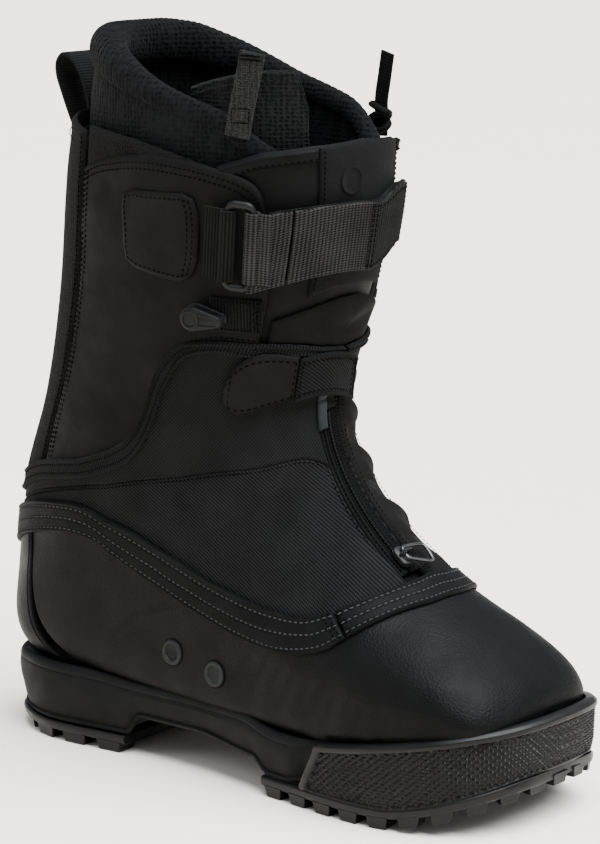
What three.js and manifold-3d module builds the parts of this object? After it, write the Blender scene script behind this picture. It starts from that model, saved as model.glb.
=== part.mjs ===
// A left snowboard boot: rubber outsole, foam midsole, sewn upper over a foam lining, tongue, zipped lace cover,
// power strap with its ring, lace hooks, and the inner boot (liner) that stands above the shell.
// Millimetres. +X to the toe, +Y to the outer (lateral) side of the foot, +Z up. The ground is z = 0.

import * as THREE from "three";
import { mergeVertices } from "three/addons/utils/BufferGeometryUtils.js";
import Module from "manifold-3d";

const wasm = await Module();
wasm.setup();

// ---- driving dimensions ---------------------------------------------------------------------------------------

// The upper is a pile of oval sections that fan from the toe, over the instep, to the cuff. Each station gives the
// section's front point and back point in the side view, how far from the back it is widest (a share of its depth),
// its half widths on the medial and lateral sides, and how square its front and back halves are.
const STATIONS = [
  { front: [150, 50], back: [151, 40], widest: 0.5, medial: 10, lateral: 10, squareFront: 2.4, squareBack: 2.4 },
  { front: [146, 62], back: [149.5, 36], widest: 0.45, medial: 33, lateral: 30, squareFront: 2.2, squareBack: 2.8 },
  { front: [133, 75], back: [139, 33], widest: 0.42, medial: 49, lateral: 46, squareFront: 2.1, squareBack: 3.6 },
  { front: [111, 88], back: [110, 31], widest: 0.4, medial: 57, lateral: 54, squareFront: 2.1, squareBack: 5 },
  { front: [84, 103], back: [70, 30], widest: 0.38, medial: 59, lateral: 56, squareFront: 2, squareBack: 6 },
  { front: [57, 124], back: [22, 30], widest: 0.36, medial: 55, lateral: 54, squareFront: 2, squareBack: 6 },
  { front: [37, 148], back: [-36, 32], widest: 0.36, medial: 50, lateral: 50, squareFront: 2.1, squareBack: 6 },
  { front: [27, 172], back: [-100, 35], widest: 0.38, medial: 47, lateral: 47, squareFront: 2.2, squareBack: 5 },
  { front: [27, 194], back: [-154, 42], widest: 0.43, medial: 48, lateral: 47, squareFront: 2.3, squareBack: 3.6 },
  { front: [32, 216], back: [-164, 76], widest: 0.45, medial: 52, lateral: 51, squareFront: 2.4, squareBack: 2.4 },
  { front: [39, 240], back: [-158, 122], widest: 0.47, medial: 56, lateral: 56, squareFront: 2.5, squareBack: 2.2 },
  { front: [43, 262], back: [-141, 170], widest: 0.48, medial: 58, lateral: 59, squareFront: 2.5, squareBack: 2.2 },
  { front: [46, 282], back: [-129, 222], widest: 0.5, medial: 60, lateral: 61, squareFront: 2.5, squareBack: 2.3 },
  { front: [47, 300], back: [-123, 272], widest: 0.5, medial: 62, lateral: 62, squareFront: 2.5, squareBack: 2.3 },
  { front: [47, 312], back: [-118, 312], widest: 0.5, medial: 63, lateral: 62, squareFront: 2.5, squareBack: 2.3 },
  { front: [47, 330], back: [-113, 350], widest: 0.5, medial: 62, lateral: 61, squareFront: 2.5, squareBack: 2.3 },
  { front: [48, 350], back: [-108, 388], widest: 0.5, medial: 61, lateral: 60, squareFront: 2.5, squareBack: 2.3 },
];

// Plan view of the sole's widest line, heel to toe and back along the lateral side.
const SOLE_OUTLINE = [
  [-166, 2], [-157, -28], [-126, -46], [-70, -46], [-20, -48], [35, -57], [85, -63], [128, -55], [151, -33],
  [158, 0], [153, 34], [130, 54], [80, 62], [20, 57], [-50, 48], [-124, 45], [-156, 30],
];
const HEEL_REST_X = -72; // the heel's tread ends and the arch begins
const BALL_X = 22; // the arch ends and the forefoot's tread begins
const GUARD_X = 46; // the toe guard's two ends, at its foot
const GUARD_SLANT = 0.019; // how far its ends lean forward, as a share of the way round the sole
const TOE_SPRING = { from: 95, length: 60, rise: 17, power: 1.5 };
const LUG_HEIGHT = 4.5;
const TREAD_THICKNESS = 5;
const MIDSOLE_TOP = 40.5;
const BUMPER_THICKNESS = 4.6;

// Layers, measured from the upper's outer surface, outwards positive: [inner face, outer face].
const PANEL = [-2.2, 0];
const BAND = [1, 2.5];
const PATCH = [0.7, 2.2];
const LINING = [-6.6, -4.5];
const TONGUE = [-6.5, -4.1];
const LINER = [-14, -7.8];
const FOOTBED = [-18, -15.6];
const LINER_FLAP = [-19.8, -16.4];
const BOARD = [-3.2, -1];

const STRAP = { width: 35, height: 260, rise: 6, inner: [0.7, 2.3], outer: [3.1, 4.9] };
const RING = { width: 15, height: 43, bar: 3.2, thickness: 3, level: 5.4, lean: 0.08 };

// ---- seams, as [station, degrees round the section]: 0 is the front, 180 the back, medial positive -------------

const BAND_TOP = [[4.15, 0], [4.15, 13], [4.35, 36], [4.62, 53], [5.03, 65], [5.62, 71.5], [6.26, 75], [7.13, 78],
  [7.93, 83], [8.77, 96], [9.24, 111], [9.6, 134], [9.68, 180]];
const BAND_LOW = [[3.66, 0], [3.7, 15], [4.01, 42], [4.29, 61], [4.54, 73], [5.07, 83], [5.65, 86], [6.28, 86.5],
  [6.94, 87], [7.91, 91], [8.59, 103], [9.18, 131], [9.26, 180]];
const WAIST_SEAM = [[6.47, 17.5], [7.11, 43.5], [7.84, 60.5], [8.79, 84.5], [9.6, 124], [9.82, 180]];
const RIB_TOP = [[8.74, 0], [8.9, 17.5], [9.6, 44], [10.25, 63], [10.38, 71], [10.17, 76], [9.64, 78], [9.42, 82],
  [9.54, 98], [9.98, 126], [10.1, 180]];
const RIB_LOW = [[8.55, 0], [8.7, 17.5], [9.35, 44], [9.97, 60], [10.08, 68.5], [9.76, 72], [9.27, 75], [9.01, 80],
  [9.16, 92], [9.75, 127], [9.87, 180]];
const FEATHER = [[0.05, 2], [0.05, 70], [0.3, 100], [0.8, 120], [1.3, 134], [2, 141], [3, 143], [4, 144], [5, 144], [6, 144],
  [7, 146], [7.9, 151], [8.15, 164], [8.2, 180]];
const SIDES = [["medial", 1], ["lateral", -1]];
const ZIP_CENTRE = 7; // degrees medial of the front
const ZIP_HALF_TAPE = 6.5;
const ZIP_STATIONS = [4.36, 7.3];
const QUARTER_FRONT = 47;
const STAY_EDGE = 124;

// ---- the upper's surface --------------------------------------------------------------------------------------

function catmullRom(a, b, c, d, t) {
  return 0.5 * (2 * b + (c - a) * t + (2 * a - 5 * b + 4 * c - d) * t * t + (3 * b - a - 3 * c + d) * t * t * t);
}

const TABLE = STATIONS.map((s) => [...s.front, ...s.back, s.widest, s.medial, s.lateral, s.squareFront, s.squareBack]);

function section(station) {
  const last = TABLE.length - 1;
  const k = Math.min(Math.max(station, 0), last);
  const i = Math.min(Math.floor(k), last - 1);
  const f = k - i;
  return TABLE[0].map((_, column) => {
    const [b, c] = [TABLE[i][column], TABLE[i + 1][column]];
    const a = i > 0 ? TABLE[i - 1][column] : 2 * b - c;
    const d = i + 2 <= last ? TABLE[i + 2][column] : 2 * c - b;
    return catmullRom(a, b, c, d, f);
  });
}

function surfacePoint(station, degrees) {
  const [fx, fz, bx, bz, widest, medial, lateral, squareFront, squareBack] = section(station);
  const angle = THREE.MathUtils.degToRad(degrees);
  const [c, s] = [Math.cos(angle), Math.sin(angle)];
  const n = c >= 0 ? squareFront : squareBack;
  const radius = (Math.abs(c) ** n + Math.abs(s) ** n) ** (-1 / n);
  const share = widest + (c >= 0 ? 1 - widest : widest) * radius * c;
  const width = s >= 0 ? medial : lateral;
  return new THREE.Vector3(bx + (fx - bx) * share, -width * radius * s, bz + (fz - bz) * share);
}

function surfaceNormal(station, degrees) {
  const [dk, da] = [0.04, 1.5];
  const alongK = surfacePoint(station + dk, degrees).sub(surfacePoint(Math.max(station - dk, 0), degrees));
  const alongA = surfacePoint(station, degrees + da).sub(surfacePoint(station, degrees - da));
  return alongA.cross(alongK).normalize().negate();
}

function onSurface(station, degrees, offset = 0) {
  return surfacePoint(station, degrees).addScaledVector(surfaceNormal(station, degrees), offset);
}

// The station at which the surface reaches a height, on the shaft, where height grows with the station.
function stationAt(height, degrees) {
  let [low, high] = [7, TABLE.length - 1];
  for (let i = 0; i < 40; i++) {
    const middle = (low + high) / 2;
    if (surfacePoint(middle, degrees).z < height) low = middle;
    else high = middle;
  }
  return (low + high) / 2;
}

// ---- solids ---------------------------------------------------------------------------------------------------

function closedGeometry(points, triangles) {
  let volume = 0;
  for (const [a, b, c] of triangles) volume += points[a].dot(points[b].clone().cross(points[c]));
  const ordered = volume < 0 ? triangles.map(([a, b, c]) => [a, c, b]) : triangles;
  const geometry = new THREE.BufferGeometry().setFromPoints(points);
  geometry.setIndex(ordered.flat());
  geometry.computeVertexNormals();
  return geometry;
}

// A solid through rings of points, with both ends capped by a fan, or closed on itself.
function sweep(rings, closed = false) {
  const count = rings[0].length;
  const triangles = [];
  const at = (i, j) => (i % rings.length) * count + (j % count);
  for (let i = 0; i < rings.length - (closed ? 0 : 1); i++)
    for (let j = 0; j < count; j++)
      triangles.push([at(i, j), at(i + 1, j), at(i + 1, j + 1)], [at(i, j), at(i + 1, j + 1), at(i, j + 1)]);
  if (!closed)
    for (let j = 1; j < count - 1; j++)
      triangles.push([at(0, 0), at(0, j), at(0, j + 1)], [at(rings.length - 1, 0), at(rings.length - 1, j + 1), at(rings.length - 1, j)]);
  return closedGeometry(rings.flat(), triangles);
}

// A thick sheet: point(u, v, side) gives its inner (side 0) and outer (side 1) faces over a grid.
function sheet(nu, nv, point, closed = false) {
  const points = [];
  const columns = closed ? nu : nu + 1;
  for (let side = 0; side < 2; side++)
    for (let i = 0; i < columns; i++) for (let j = 0; j <= nv; j++) points.push(point(i / nu, j / nv, side));
  const at = (side, i, j) => side * columns * (nv + 1) + (i % columns) * (nv + 1) + j;
  const triangles = [];
  const quad = (a, b, c, d) => triangles.push([a, b, c], [a, c, d]);
  for (let i = 0; i < nu; i++) {
    for (let j = 0; j < nv; j++) {
      quad(at(1, i, j), at(1, i + 1, j), at(1, i + 1, j + 1), at(1, i, j + 1));
      quad(at(0, i, j), at(0, i, j + 1), at(0, i + 1, j + 1), at(0, i + 1, j));
    }
    quad(at(0, i, 0), at(0, i + 1, 0), at(1, i + 1, 0), at(1, i, 0));
    quad(at(0, i, nv), at(1, i, nv), at(1, i + 1, nv), at(0, i + 1, nv));
  }
  if (!closed)
    for (let j = 0; j < nv; j++) {
      quad(at(0, 0, j), at(1, 0, j), at(1, 0, j + 1), at(0, 0, j + 1));
      quad(at(0, nu, j), at(0, nu, j + 1), at(1, nu, j + 1), at(1, nu, j));
    }
  return closedGeometry(points, triangles);
}

// Degrees round a section at an even share of its columns: closer together at the square corners under the foot.
const AROUND = [0, 26, 50, 70, 86, 98, 108, 117, 125, 131, 137, 144, 154, 166, 180];
function around(u) {
  const share = (u > 0.5 ? 1 - u : u) * 2 * (AROUND.length - 1);
  const i = Math.min(Math.floor(share), AROUND.length - 2);
  const degrees = AROUND[i] + (AROUND[i + 1] - AROUND[i]) * (share - i);
  return u > 0.5 ? 360 - degrees : degrees;
}
const AROUND_COLUMNS = 2 * (AROUND.length - 1);

const seamCurve = (points) =>
  new THREE.CatmullRomCurve3(points.map(([k, a]) => new THREE.Vector3(k, a / 12, 0)), false, "centripetal");

// A panel of the upper between two seams; side is 1 on the medial half and -1 on the lateral half.
function panel(lower, upper, nu, nv, layer, side = 1) {
  const [from, to] = [seamCurve(lower), seamCurve(upper)];
  return sheet(nu, nv, (u, v, face) => {
    const [a, b] = [from.getPointAt(u), to.getPointAt(u)];
    return onSurface(a.x + (b.x - a.x) * v, (a.y + (b.y - a.y) * v) * 12 * side, layer[face]);
  });
}

// A panel that crosses the boot's centre line, where both seams start, and runs the same way on both sides.
// Crowding above 1 puts its rows closer together near the lower seam; bow, in degrees, curves its two far ends.
function mirroredPanel(lower, upper, nu, nv, layer, crowding = 1, bow = 0) {
  const [from, to] = [seamCurve(lower), seamCurve(upper)];
  return sheet(nu, nv, (u, v, face) => {
    const t = Math.abs(1 - 2 * u);
    const [a, b] = [from.getPointAt(t), to.getPointAt(t)];
    const w = v ** crowding;
    const degrees = (a.y + (b.y - a.y) * w) * 12 + bow * t ** 4 * Math.sin(Math.PI * w);
    return onSurface(a.x + (b.x - a.x) * w, degrees * (u < 0.5 ? 1 : -1), layer[face]);
  });
}

// A four-cornered patch, corners in order along its foot and back along its head.
function patch([a, b, c, d], nu, nv, layer, side = 1) {
  const mix = (p, q, t) => [p[0] + (q[0] - p[0]) * t, p[1] + (q[1] - p[1]) * t];
  return sheet(nu, nv, (u, v, face) => {
    const [station, degrees] = mix(mix(a, b, u), mix(d, c, u), v);
    return onSurface(station, degrees * side, layer[face]);
  });
}

// A panel on the shaft between two angles, whose lower and upper heights depend on the angle.
function cuff(fromDegrees, toDegrees, low, high, nu, nv, layer, closed = false) {
  return sheet(nu, nv, (u, v, face) => {
    const degrees = fromDegrees + (toDegrees - fromDegrees) * u;
    const [a, b] = [low(degrees), high(degrees)];
    const offset = typeof layer === "function" ? layer(degrees, v)[face] : layer[face];
    return onSurface(a + (b - a) * v, degrees, offset);
  }, closed);
}

// Shifts a seam along the stations, and cuts it to the part between two angles.
const shifted = (seam, stations) => seam.map(([k, a]) => [k + stations, a]);
function between(seam, fromDegrees, toDegrees, steps = 14) {
  const inside = (degrees) => {
    const i = Math.max(1, seam.findIndex(([, a]) => a >= degrees));
    const [[k0, a0], [k1, a1]] = [seam[i - 1], seam[i]];
    return [k0 + ((k1 - k0) * (degrees - a0)) / (a1 - a0), degrees];
  };
  const kept = seam.filter(([, a]) => a > fromDegrees + 1 && a < toDegrees - 1);
  return [inside(fromDegrees), ...kept, inside(toDegrees)].slice(0, steps + 2);
}
const seamStation = (seam, degrees) => between(seam, Math.abs(degrees), 179.9)[0][0];

function toManifold(geometry) {
  const bare = geometry.index ? geometry.toNonIndexed() : geometry.clone();
  const onlyPosition = new THREE.BufferGeometry().setAttribute("position", bare.getAttribute("position"));
  const merged = mergeVertices(onlyPosition, 1e-3);
  const triVerts = new Uint32Array(merged.index.array);
  return new wasm.Manifold(new wasm.Mesh({ numProp: 3, vertProperties: merged.attributes.position.array, triVerts }));
}

function fromManifold(solid) {
  const mesh = solid.getMesh();
  const points = [];
  for (let i = 0; i < mesh.numVert; i++) points.push(new THREE.Vector3().fromArray(mesh.vertProperties, i * mesh.numProp));
  const triangles = [];
  for (let i = 0; i < mesh.triVerts.length; i += 3) triangles.push([...mesh.triVerts.subarray(i, i + 3)]);
  return closedGeometry(points, triangles);
}

const join = (geometries) => fromManifold(geometries.map(toManifold).reduce((sum, next) => sum.add(next)));
const cut = (geometry, ...tools) => fromManifold(tools.map(toManifold).reduce((left, next) => left.subtract(next), toManifold(geometry)));

// ---- materials and placing ------------------------------------------------------------------------------------

const finish = (color, roughness, metalness = 0) => new THREE.MeshStandardMaterial({ color, roughness, metalness });
const MATERIALS = {
  rubber: finish(0x1d1d1e, 0.75),
  foam: finish(0x202122, 0.7),
  leather: finish(0x1c1b1b, 0.55),
  suede: finish(0x221f1e, 0.8),
  textile: finish(0x212122, 0.85),
  mesh: finish(0x1f1b1a, 0.95),
  webbing: finish(0x2b2523, 0.9),
  liner: finish(0x121213, 0.95),
  plastic: finish(0x232222, 0.45),
  metal: finish(0x3a3838, 0.35, 0.8),
  rubberTrim: finish(0x2a2a2b, 0.6),
  pullTab: finish(0x353031, 0.9),
};

const boot = new THREE.Group();
function add(name, material, geometry, parent = boot) {
  const mesh = new THREE.Mesh(geometry, MATERIALS[material]);
  mesh.name = name;
  parent.add(mesh);
  return mesh;
}

// Axes at a point of the surface: z points out, y up the boot, and x round it (to the toe on the medial side).
function surfaceFrame(station, degrees, offset) {
  const out = surfaceNormal(station, degrees);
  const up = surfacePoint(station + 0.05, degrees).sub(surfacePoint(station - 0.05, degrees));
  up.addScaledVector(out, -up.dot(out)).normalize();
  const basis = new THREE.Matrix4().makeBasis(up.clone().cross(out), up, out);
  return { position: onSurface(station, degrees, offset), quaternion: new THREE.Quaternion().setFromRotationMatrix(basis) };
}

function place(mesh, frame) {
  mesh.position.copy(frame.position);
  mesh.quaternion.copy(frame.quaternion);
  return mesh;
}

// ---- sole -----------------------------------------------------------------------------------------------------

const outline = new THREE.CatmullRomCurve3(SOLE_OUTLINE.map(([x, y]) => new THREE.Vector3(x, y, 0)), true, "centripetal");
const soleLift = (x) => TOE_SPRING.rise * Math.min(Math.max((x - TOE_SPRING.from) / TOE_SPRING.length, 0), 1.1) ** TOE_SPRING.power;
const smooth = (x, from, to) => THREE.MathUtils.smoothstep(x, Math.min(from, to), Math.max(from, to));
const smoothShare = (x, zero, one) => Math.min(Math.max((x - zero) / (one - zero), 0), 1);
const bumperTop = (x) => 33 + 19 * Math.min(Math.max((x - 50) / 105, 0), 1.1) ** 1.15;
const midsoleTop = (x) =>
  MIDSOLE_TOP - 2 * smooth(x, -100, -60) - 1 * (1 - smooth(x, -160, -130)) - 5 * smooth(x, 5, 32) +
  (bumperTop(x) - 33) * smooth(x, 30, 60) - 16 * smooth(x, 138, 154);
const tread = (x) => LUG_HEIGHT + TREAD_THICKNESS + soleLift(x);
const archRise = (x) => (10 - 3.5 * smooth(x, -25, 14)) * smooth(x, HEEL_REST_X, HEEL_REST_X + 10) * (1 - smooth(x, 14, 25));

// A point of the sole's edge: u is 0 to 1 round the outline, inset is measured in from it, square to it.
function solePoint(u, inset, z) {
  const wrapped = ((u % 1) + 1) % 1;
  const point = outline.getPointAt(wrapped);
  const along = outline.getTangentAt(wrapped);
  return new THREE.Vector3(point.x - along.y * inset, point.y + along.x * inset, typeof z === "function" ? z(point.x) : z);
}

// Places round the outline, in pairs that face each other across the sole: heel, medial side, toe, lateral side.
const outlinePlace = (x, medial) => {
  let best = [Infinity, 0];
  for (let i = 0; i <= 600; i++) {
    const point = outline.getPointAt(i / 600);
    if (medial === point.y < 0 && Math.abs(point.x - x) < best[0]) best = [Math.abs(point.x - x), i / 600];
  }
  return best[1];
};
const HALF_STEPS = 30;
const [HEEL_X, TOE_X] = [SOLE_OUTLINE[0][0], SOLE_OUTLINE[9][0]];
const SOLE_PLACES = Array.from({ length: 2 * HALF_STEPS }, (_, i) => {
  const x = HEEL_X + ((TOE_X - HEEL_X) * (1 - Math.cos((Math.PI * i) / HALF_STEPS))) / 2;
  if (i === 0) return 0;
  return i === HALF_STEPS ? outlinePlace(TOE_X, true) : outlinePlace(x, i < HALF_STEPS);
});
const soleRing = (inset, z) =>
  SOLE_PLACES.map((u) => solePoint(u, typeof inset === "function" ? inset(outline.getPointAt(u).x) : inset, z));

// Faces across a ring: between facing pairs for the sole's rings, and triangulated for other outlines.
function capFaces(ring) {
  const half = HALF_STEPS;
  if (ring.length !== 2 * half)
    return THREE.ShapeUtils.triangulateShape(ring.map((p) => new THREE.Vector2(p.x, p.y)), []);
  const faces = [];
  for (let i = 0; i < half; i++) {
    const [a, b, c, d] = [i, i + 1, 2 * half - i - 1, (2 * half - i) % (2 * half)];
    if (b !== c) faces.push([a, b, c]);
    if (a !== d) faces.push([a, c, d]);
  }
  return faces;
}

// Rings stacked upwards, each anticlockwise seen from above, with a cap at both ends.
function stack(rings) {
  const count = rings[0].length;
  const top = (rings.length - 1) * count;
  const triangles = [];
  const at = (i, j) => i * count + (j % count);
  for (let i = 0; i < rings.length - 1; i++)
    for (let j = 0; j < count; j++)
      triangles.push([at(i, j), at(i + 1, j), at(i + 1, j + 1)], [at(i, j), at(i + 1, j + 1), at(i, j + 1)]);
  for (const [a, b, c] of capFaces(rings[0])) triangles.push([a, b, c]);
  for (const [a, b, c] of capFaces(rings[rings.length - 1])) triangles.push([top + a, top + c, top + b]);
  return closedGeometry(rings.flat(), triangles);
}

// The space the lasted upper fills, a little larger than the upper itself.
function lastedUpper(clearance) {
  const rings = [];
  for (let k = 0; k <= 9.01; k += 0.45)
    rings.push(Array.from({ length: AROUND_COLUMNS }, (_, i) => onSurface(k, around(i / AROUND_COLUMNS), clearance)));
  return sweep(rings);
}

const inBumper = (x) => smooth(x, GUARD_X - 10, GUARD_X - 1);
function midsole() {
  // Behind the toe guard the wall is set in, further forward towards its top, as the guard's ends lean.
  const inset = (extra, forward = 0) => (x) => extra + (BUMPER_THICKNESS + 0.4) * inBumper(x - forward);
  const bottom = (x) => tread(x) + 0.4 + archRise(x);
  const rings = [
    soleRing(inset(4), bottom),
    soleRing(inset(2.6), (x) => bottom(x) + 4),
    soleRing(inset(0.4), (x) => (bottom(x) + midsoleTop(x)) / 2),
    soleRing(inset(0, 1), (x) => midsoleTop(x) - 7),
    soleRing(inset(1.6, 6), (x) => midsoleTop(x) - 3 * (1 - inBumper(x))),
    soleRing(inset(3.4, 6), (x) => midsoleTop(x) - 2.5 * inBumper(x)),
  ];
  return cut(stack(rings), lastedUpper(1.6));
}

// A tread block between two places round the outline and two insets, drawn in at its foot.
function lug(u0, u1, inset0, inset1, height = LUG_HEIGHT + 0.8) {
  const draft = 0.0022;
  const floor = (spread, z) => [
    solePoint(u0 + spread, inset0 + spread * 400, z),
    solePoint(u1 - spread, inset0 + spread * 400, z),
    solePoint(u1 - spread, inset1 - spread * 400, z),
    solePoint(u0 + spread, inset1 - spread * 400, z),
  ];
  const foot = (x) => soleLift(x);
  return sweep([floor(draft, foot), floor(0, (x) => foot(x) + height)]);
}

// Bars across the middle of the tread, each a shallow chevron.
function bar(x, halfWidth, depth, point) {
  const ring = (z, shrink) =>
    [[-halfWidth, 0], [0, point], [halfWidth, 0], [halfWidth, -depth], [0, point - depth], [-halfWidth, -depth]].map(
      ([y, dx]) => new THREE.Vector3(x + dx * (1 - shrink), y * (1 - shrink), z + soleLift(x)));
  return stack([ring(0, 0.04), ring(LUG_HEIGHT + 0.8, 0)]);
}

const [U_HEEL_MEDIAL, U_HEEL_LATERAL] = [outlinePlace(HEEL_REST_X, true), outlinePlace(HEEL_REST_X, false)];
const [U_BALL_MEDIAL, U_BALL_LATERAL] = [outlinePlace(BALL_X, true), outlinePlace(BALL_X, false)];
const [U_GUARD_MEDIAL, U_GUARD_LATERAL] = [outlinePlace(GUARD_X, true), outlinePlace(GUARD_X, false)];

// Tread blocks evenly spaced round the outline between two places.
function lugRow(from, to, count, inset0, inset1, fill = 0.68) {
  const step = (to - from) / count;
  return Array.from({ length: count }, (_, i) => lug(from + step * (i + 0.5 - fill / 2), from + step * (i + 0.5 + fill / 2), inset0, inset1));
}

// A flat tread plate inside the outline, cut off square at one x.
function treadPlate(keepBelow, limit) {
  const under = (x) => LUG_HEIGHT + soleLift(x);
  const plate = stack([soleRing(3.2, under), soleRing(1.4, tread)]);
  const size = 400;
  const box = new THREE.BoxGeometry(size, size, size).translate(limit + (keepBelow ? size / 2 : -size / 2), 0, 0);
  return cut(plate, box);
}

function heelOutsole() {
  const rim = lugRow(U_HEEL_LATERAL, 1 + U_HEEL_MEDIAL, 9, 3.4, 15);
  return join([treadPlate(true, HEEL_REST_X), ...rim, bar(-92, 20, 9, 5), bar(-112, 20, 9, 5), bar(-132, 15, 9, 5)]);
}

// The raised toe guard: a strip round the front of the sole, with slanted ends.
function toeBumper() {
  const steps = 30;
  const rings = [];
  for (let i = 0; i <= steps; i++) {
    const u = (slant) => {
      const t = i / steps;
      return U_GUARD_MEDIAL + slant + (U_GUARD_LATERAL - U_GUARD_MEDIAL - 2 * slant) * t;
    };
    const [low, high] = [u(0), u(GUARD_SLANT)];
    const foot = (x) => tread(x) - 1.5;
    const inner = BUMPER_THICKNESS;
    rings.push([
      solePoint(low, 1.6, foot),
      solePoint(low, 0.4, (x) => foot(x) + 4),
      solePoint(high, 0, (x) => bumperTop(x) - 4),
      solePoint(high, 1.4, bumperTop),
      solePoint(high, inner, bumperTop),
      solePoint(low, inner, foot),
    ]);
  }
  return sweep(rings);
}

function forefootOutsole() {
  const rim = lugRow(U_BALL_MEDIAL, U_BALL_LATERAL, 17, 3.4, 16);
  const bars = [38, 56, 74, 92].map((x) => bar(x, 33, 9, 6));
  const body = join([treadPlate(false, BALL_X), toeBumper(), ...rim, ...bars, bar(110, 28, 9, 6)]);
  return cut(body, lastedUpper(1.6));
}

add("midsole", "foam", midsole());
add("outsole_heel", "rubber", heelOutsole());
add("outsole_forefoot", "rubber", forefootOutsole());

// ---- lower: board, lower shell, heel counter and the stitched band --------------------------------------------

// The foot's layers share these stations, so that their faces stay parallel.
const FOOT_STATIONS = [0.9, 1.6, 2.4, 3.3, 4.2, 5.1, 6, 6.9, 7.6, 8.2, 8.65];

function footTube(layer, first = 0) {
  const stations = FOOT_STATIONS.slice(first);
  const rows = stations.length - 1;
  return sheet(AROUND_COLUMNS, rows, (u, v, face) =>
    onSurface(stations[Math.round(v * rows)], around(u), layer[face]), true);
}

// A plate under the foot, between the same angles on both sides.
function underFoot(layer, first, last, edge) {
  const stations = FOOT_STATIONS.slice(first, last + 1);
  const angles = AROUND.slice(edge);
  const columns = [...angles, ...angles.slice(0, -1).reverse().map((a) => 360 - a)];
  return sheet(stations.length - 1, columns.length - 1, (u, v, face) =>
    onSurface(stations[Math.round(u * (stations.length - 1))], columns[Math.round(v * (columns.length - 1))], layer[face]));
}
add("lasting_board", "foam", underFoot(BOARD, 1, 7, 12));

const COUNTER = { top: 129, foot: 148, bow: -13 };
add("lower_shell", "leather", mirroredPanel(
  between(FEATHER, 2, COUNTER.foot), shifted(between(BAND_LOW, 0, COUNTER.top), 0.18), 44, 7, PANEL, 1.4, COUNTER.bow));
add("heel_counter", "leather", mirroredPanel(
  between(FEATHER, COUNTER.foot + 1.4, 180).reverse(),
  shifted(between(BAND_LOW, COUNTER.top + 1.2, 180).reverse(), 0.18), 16, 5, PANEL, 1, COUNTER.bow));

const BAND_JOIN = 53;
for (const [name, side] of SIDES)
  add("rand_band_" + name, "leather",
    panel(between(BAND_LOW, BAND_JOIN + 7, 179), between(BAND_TOP, BAND_JOIN + 0.8, 179), 26, 1, BAND, side));
add("rand_band_toe", "leather",
  mirroredPanel(between(BAND_LOW, 0, BAND_JOIN + 6), between(BAND_TOP, 0, BAND_JOIN - 0.4), 24, 1, BAND));

// ---- quarters -------------------------------------------------------------------------------------------------

// Moves a seam square to itself, up the boot for a positive amount, in twentieths of a station.
function seamGap(seam, amount) {
  return seam.map(([k, a], i) => {
    const [before, after] = [seam[Math.max(i - 1, 0)], seam[Math.min(i + 1, seam.length - 1)]];
    const [dk, da] = [after[0] - before[0], (after[1] - before[1]) / 12];
    const length = Math.hypot(dk, da);
    return [k + (amount * da) / length / 20, a - (amount * 12 * dk) / length / 20];
  });
}
const RIB_MIDDLE = RIB_TOP.map(([k, a], i) => [(k + RIB_LOW[i][0]) / 2, (a + RIB_LOW[i][1]) / 2]);
const clampAngles = (seam, from, to) => seam.map(([k, a]) => [k, Math.min(Math.max(a, from), to)]);

for (const [name, side] of SIDES) {
  const front = ZIP_HALF_TAPE + 0.8 + ZIP_CENTRE * side;
  const waist = [[6.3, front], ...between(WAIST_SEAM, Math.max(front, 18) + 6, 179)];
  const belowBand = [[3.98, front], ...shifted(between(BAND_TOP, front + 8, 179), -0.2)];
  add("quarter_lower_" + name, "textile", panel(belowBand, seamGap(waist, -0.4), 20, 4, PANEL, side));
  const ribEdge = between(RIB_MIDDLE, Math.max(front, 0.01), 179);
  add("quarter_upper_" + name, "textile", panel(seamGap(waist, 0.4), seamGap(ribEdge, -0.9), 22, 4, PANEL, side));
  add("rib_band_" + name, "textile",
    panel(clampAngles(RIB_LOW, 0.6, 179.4), clampAngles(RIB_TOP, 0.6, 179.4), 30, 1, BAND, side));
}

// The shaft quarter's top edge, as heights against degrees: it falls to the quarter's front corner.
const QUARTER_TOP = [[43.5, 236], [47, 270], [51, 288], [66, 297], [89, 301], [110, 298], [124, 292]];
const heightOf = (profile) => (degrees) => {
  const a = Math.abs(degrees > 180 ? 360 - degrees : degrees);
  const i = Math.max(1, profile.findIndex(([angle]) => angle >= a));
  const [[a0, h0], [a1, h1]] = [profile[i - 1], profile[i]];
  return h0 + ((h1 - h0) * (a - a0)) / (a1 - a0);
};
for (const [name, side] of SIDES) {
  const edge = seamGap(between(RIB_MIDDLE, 44, STAY_EDGE - 0.8), 0.9);
  const top = QUARTER_TOP.map(([a, h]) => [stationAt(h, a * side), Math.min(a, STAY_EDGE - 0.8)]);
  add("shaft_quarter_" + name, "leather", panel(edge, top, 18, 5, PANEL, side));
}
const COLLAR_TOP = heightOf([[0, 300], [86, 302], [124, 309], [150, 315], [180, 316]]);
const ribAt = (degrees) => seamStation(RIB_MIDDLE, degrees > 180 ? 360 - degrees : degrees);
add("back_stay", "mesh", cuff(STAY_EDGE, 360 - STAY_EDGE, (a) => ribAt(a) + 0.04, (a) => stationAt(COLLAR_TOP(a), a), 14, 6, PANEL));
add("shroud", "textile", cuff(-41, 41, (a) => ribAt(a) + 0.04, (a) => stationAt(234 - a * a * 0.006, a), 12, 4, PANEL));
add("zip_gusset", "textile",
  cuff(ZIP_CENTRE - ZIP_HALF_TAPE, ZIP_CENTRE + ZIP_HALF_TAPE, () => ZIP_STATIONS[1] + 0.06, () => 8.5, 2, 5, PANEL));

// ---- linings and tongue ---------------------------------------------------------------------------------------

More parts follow.
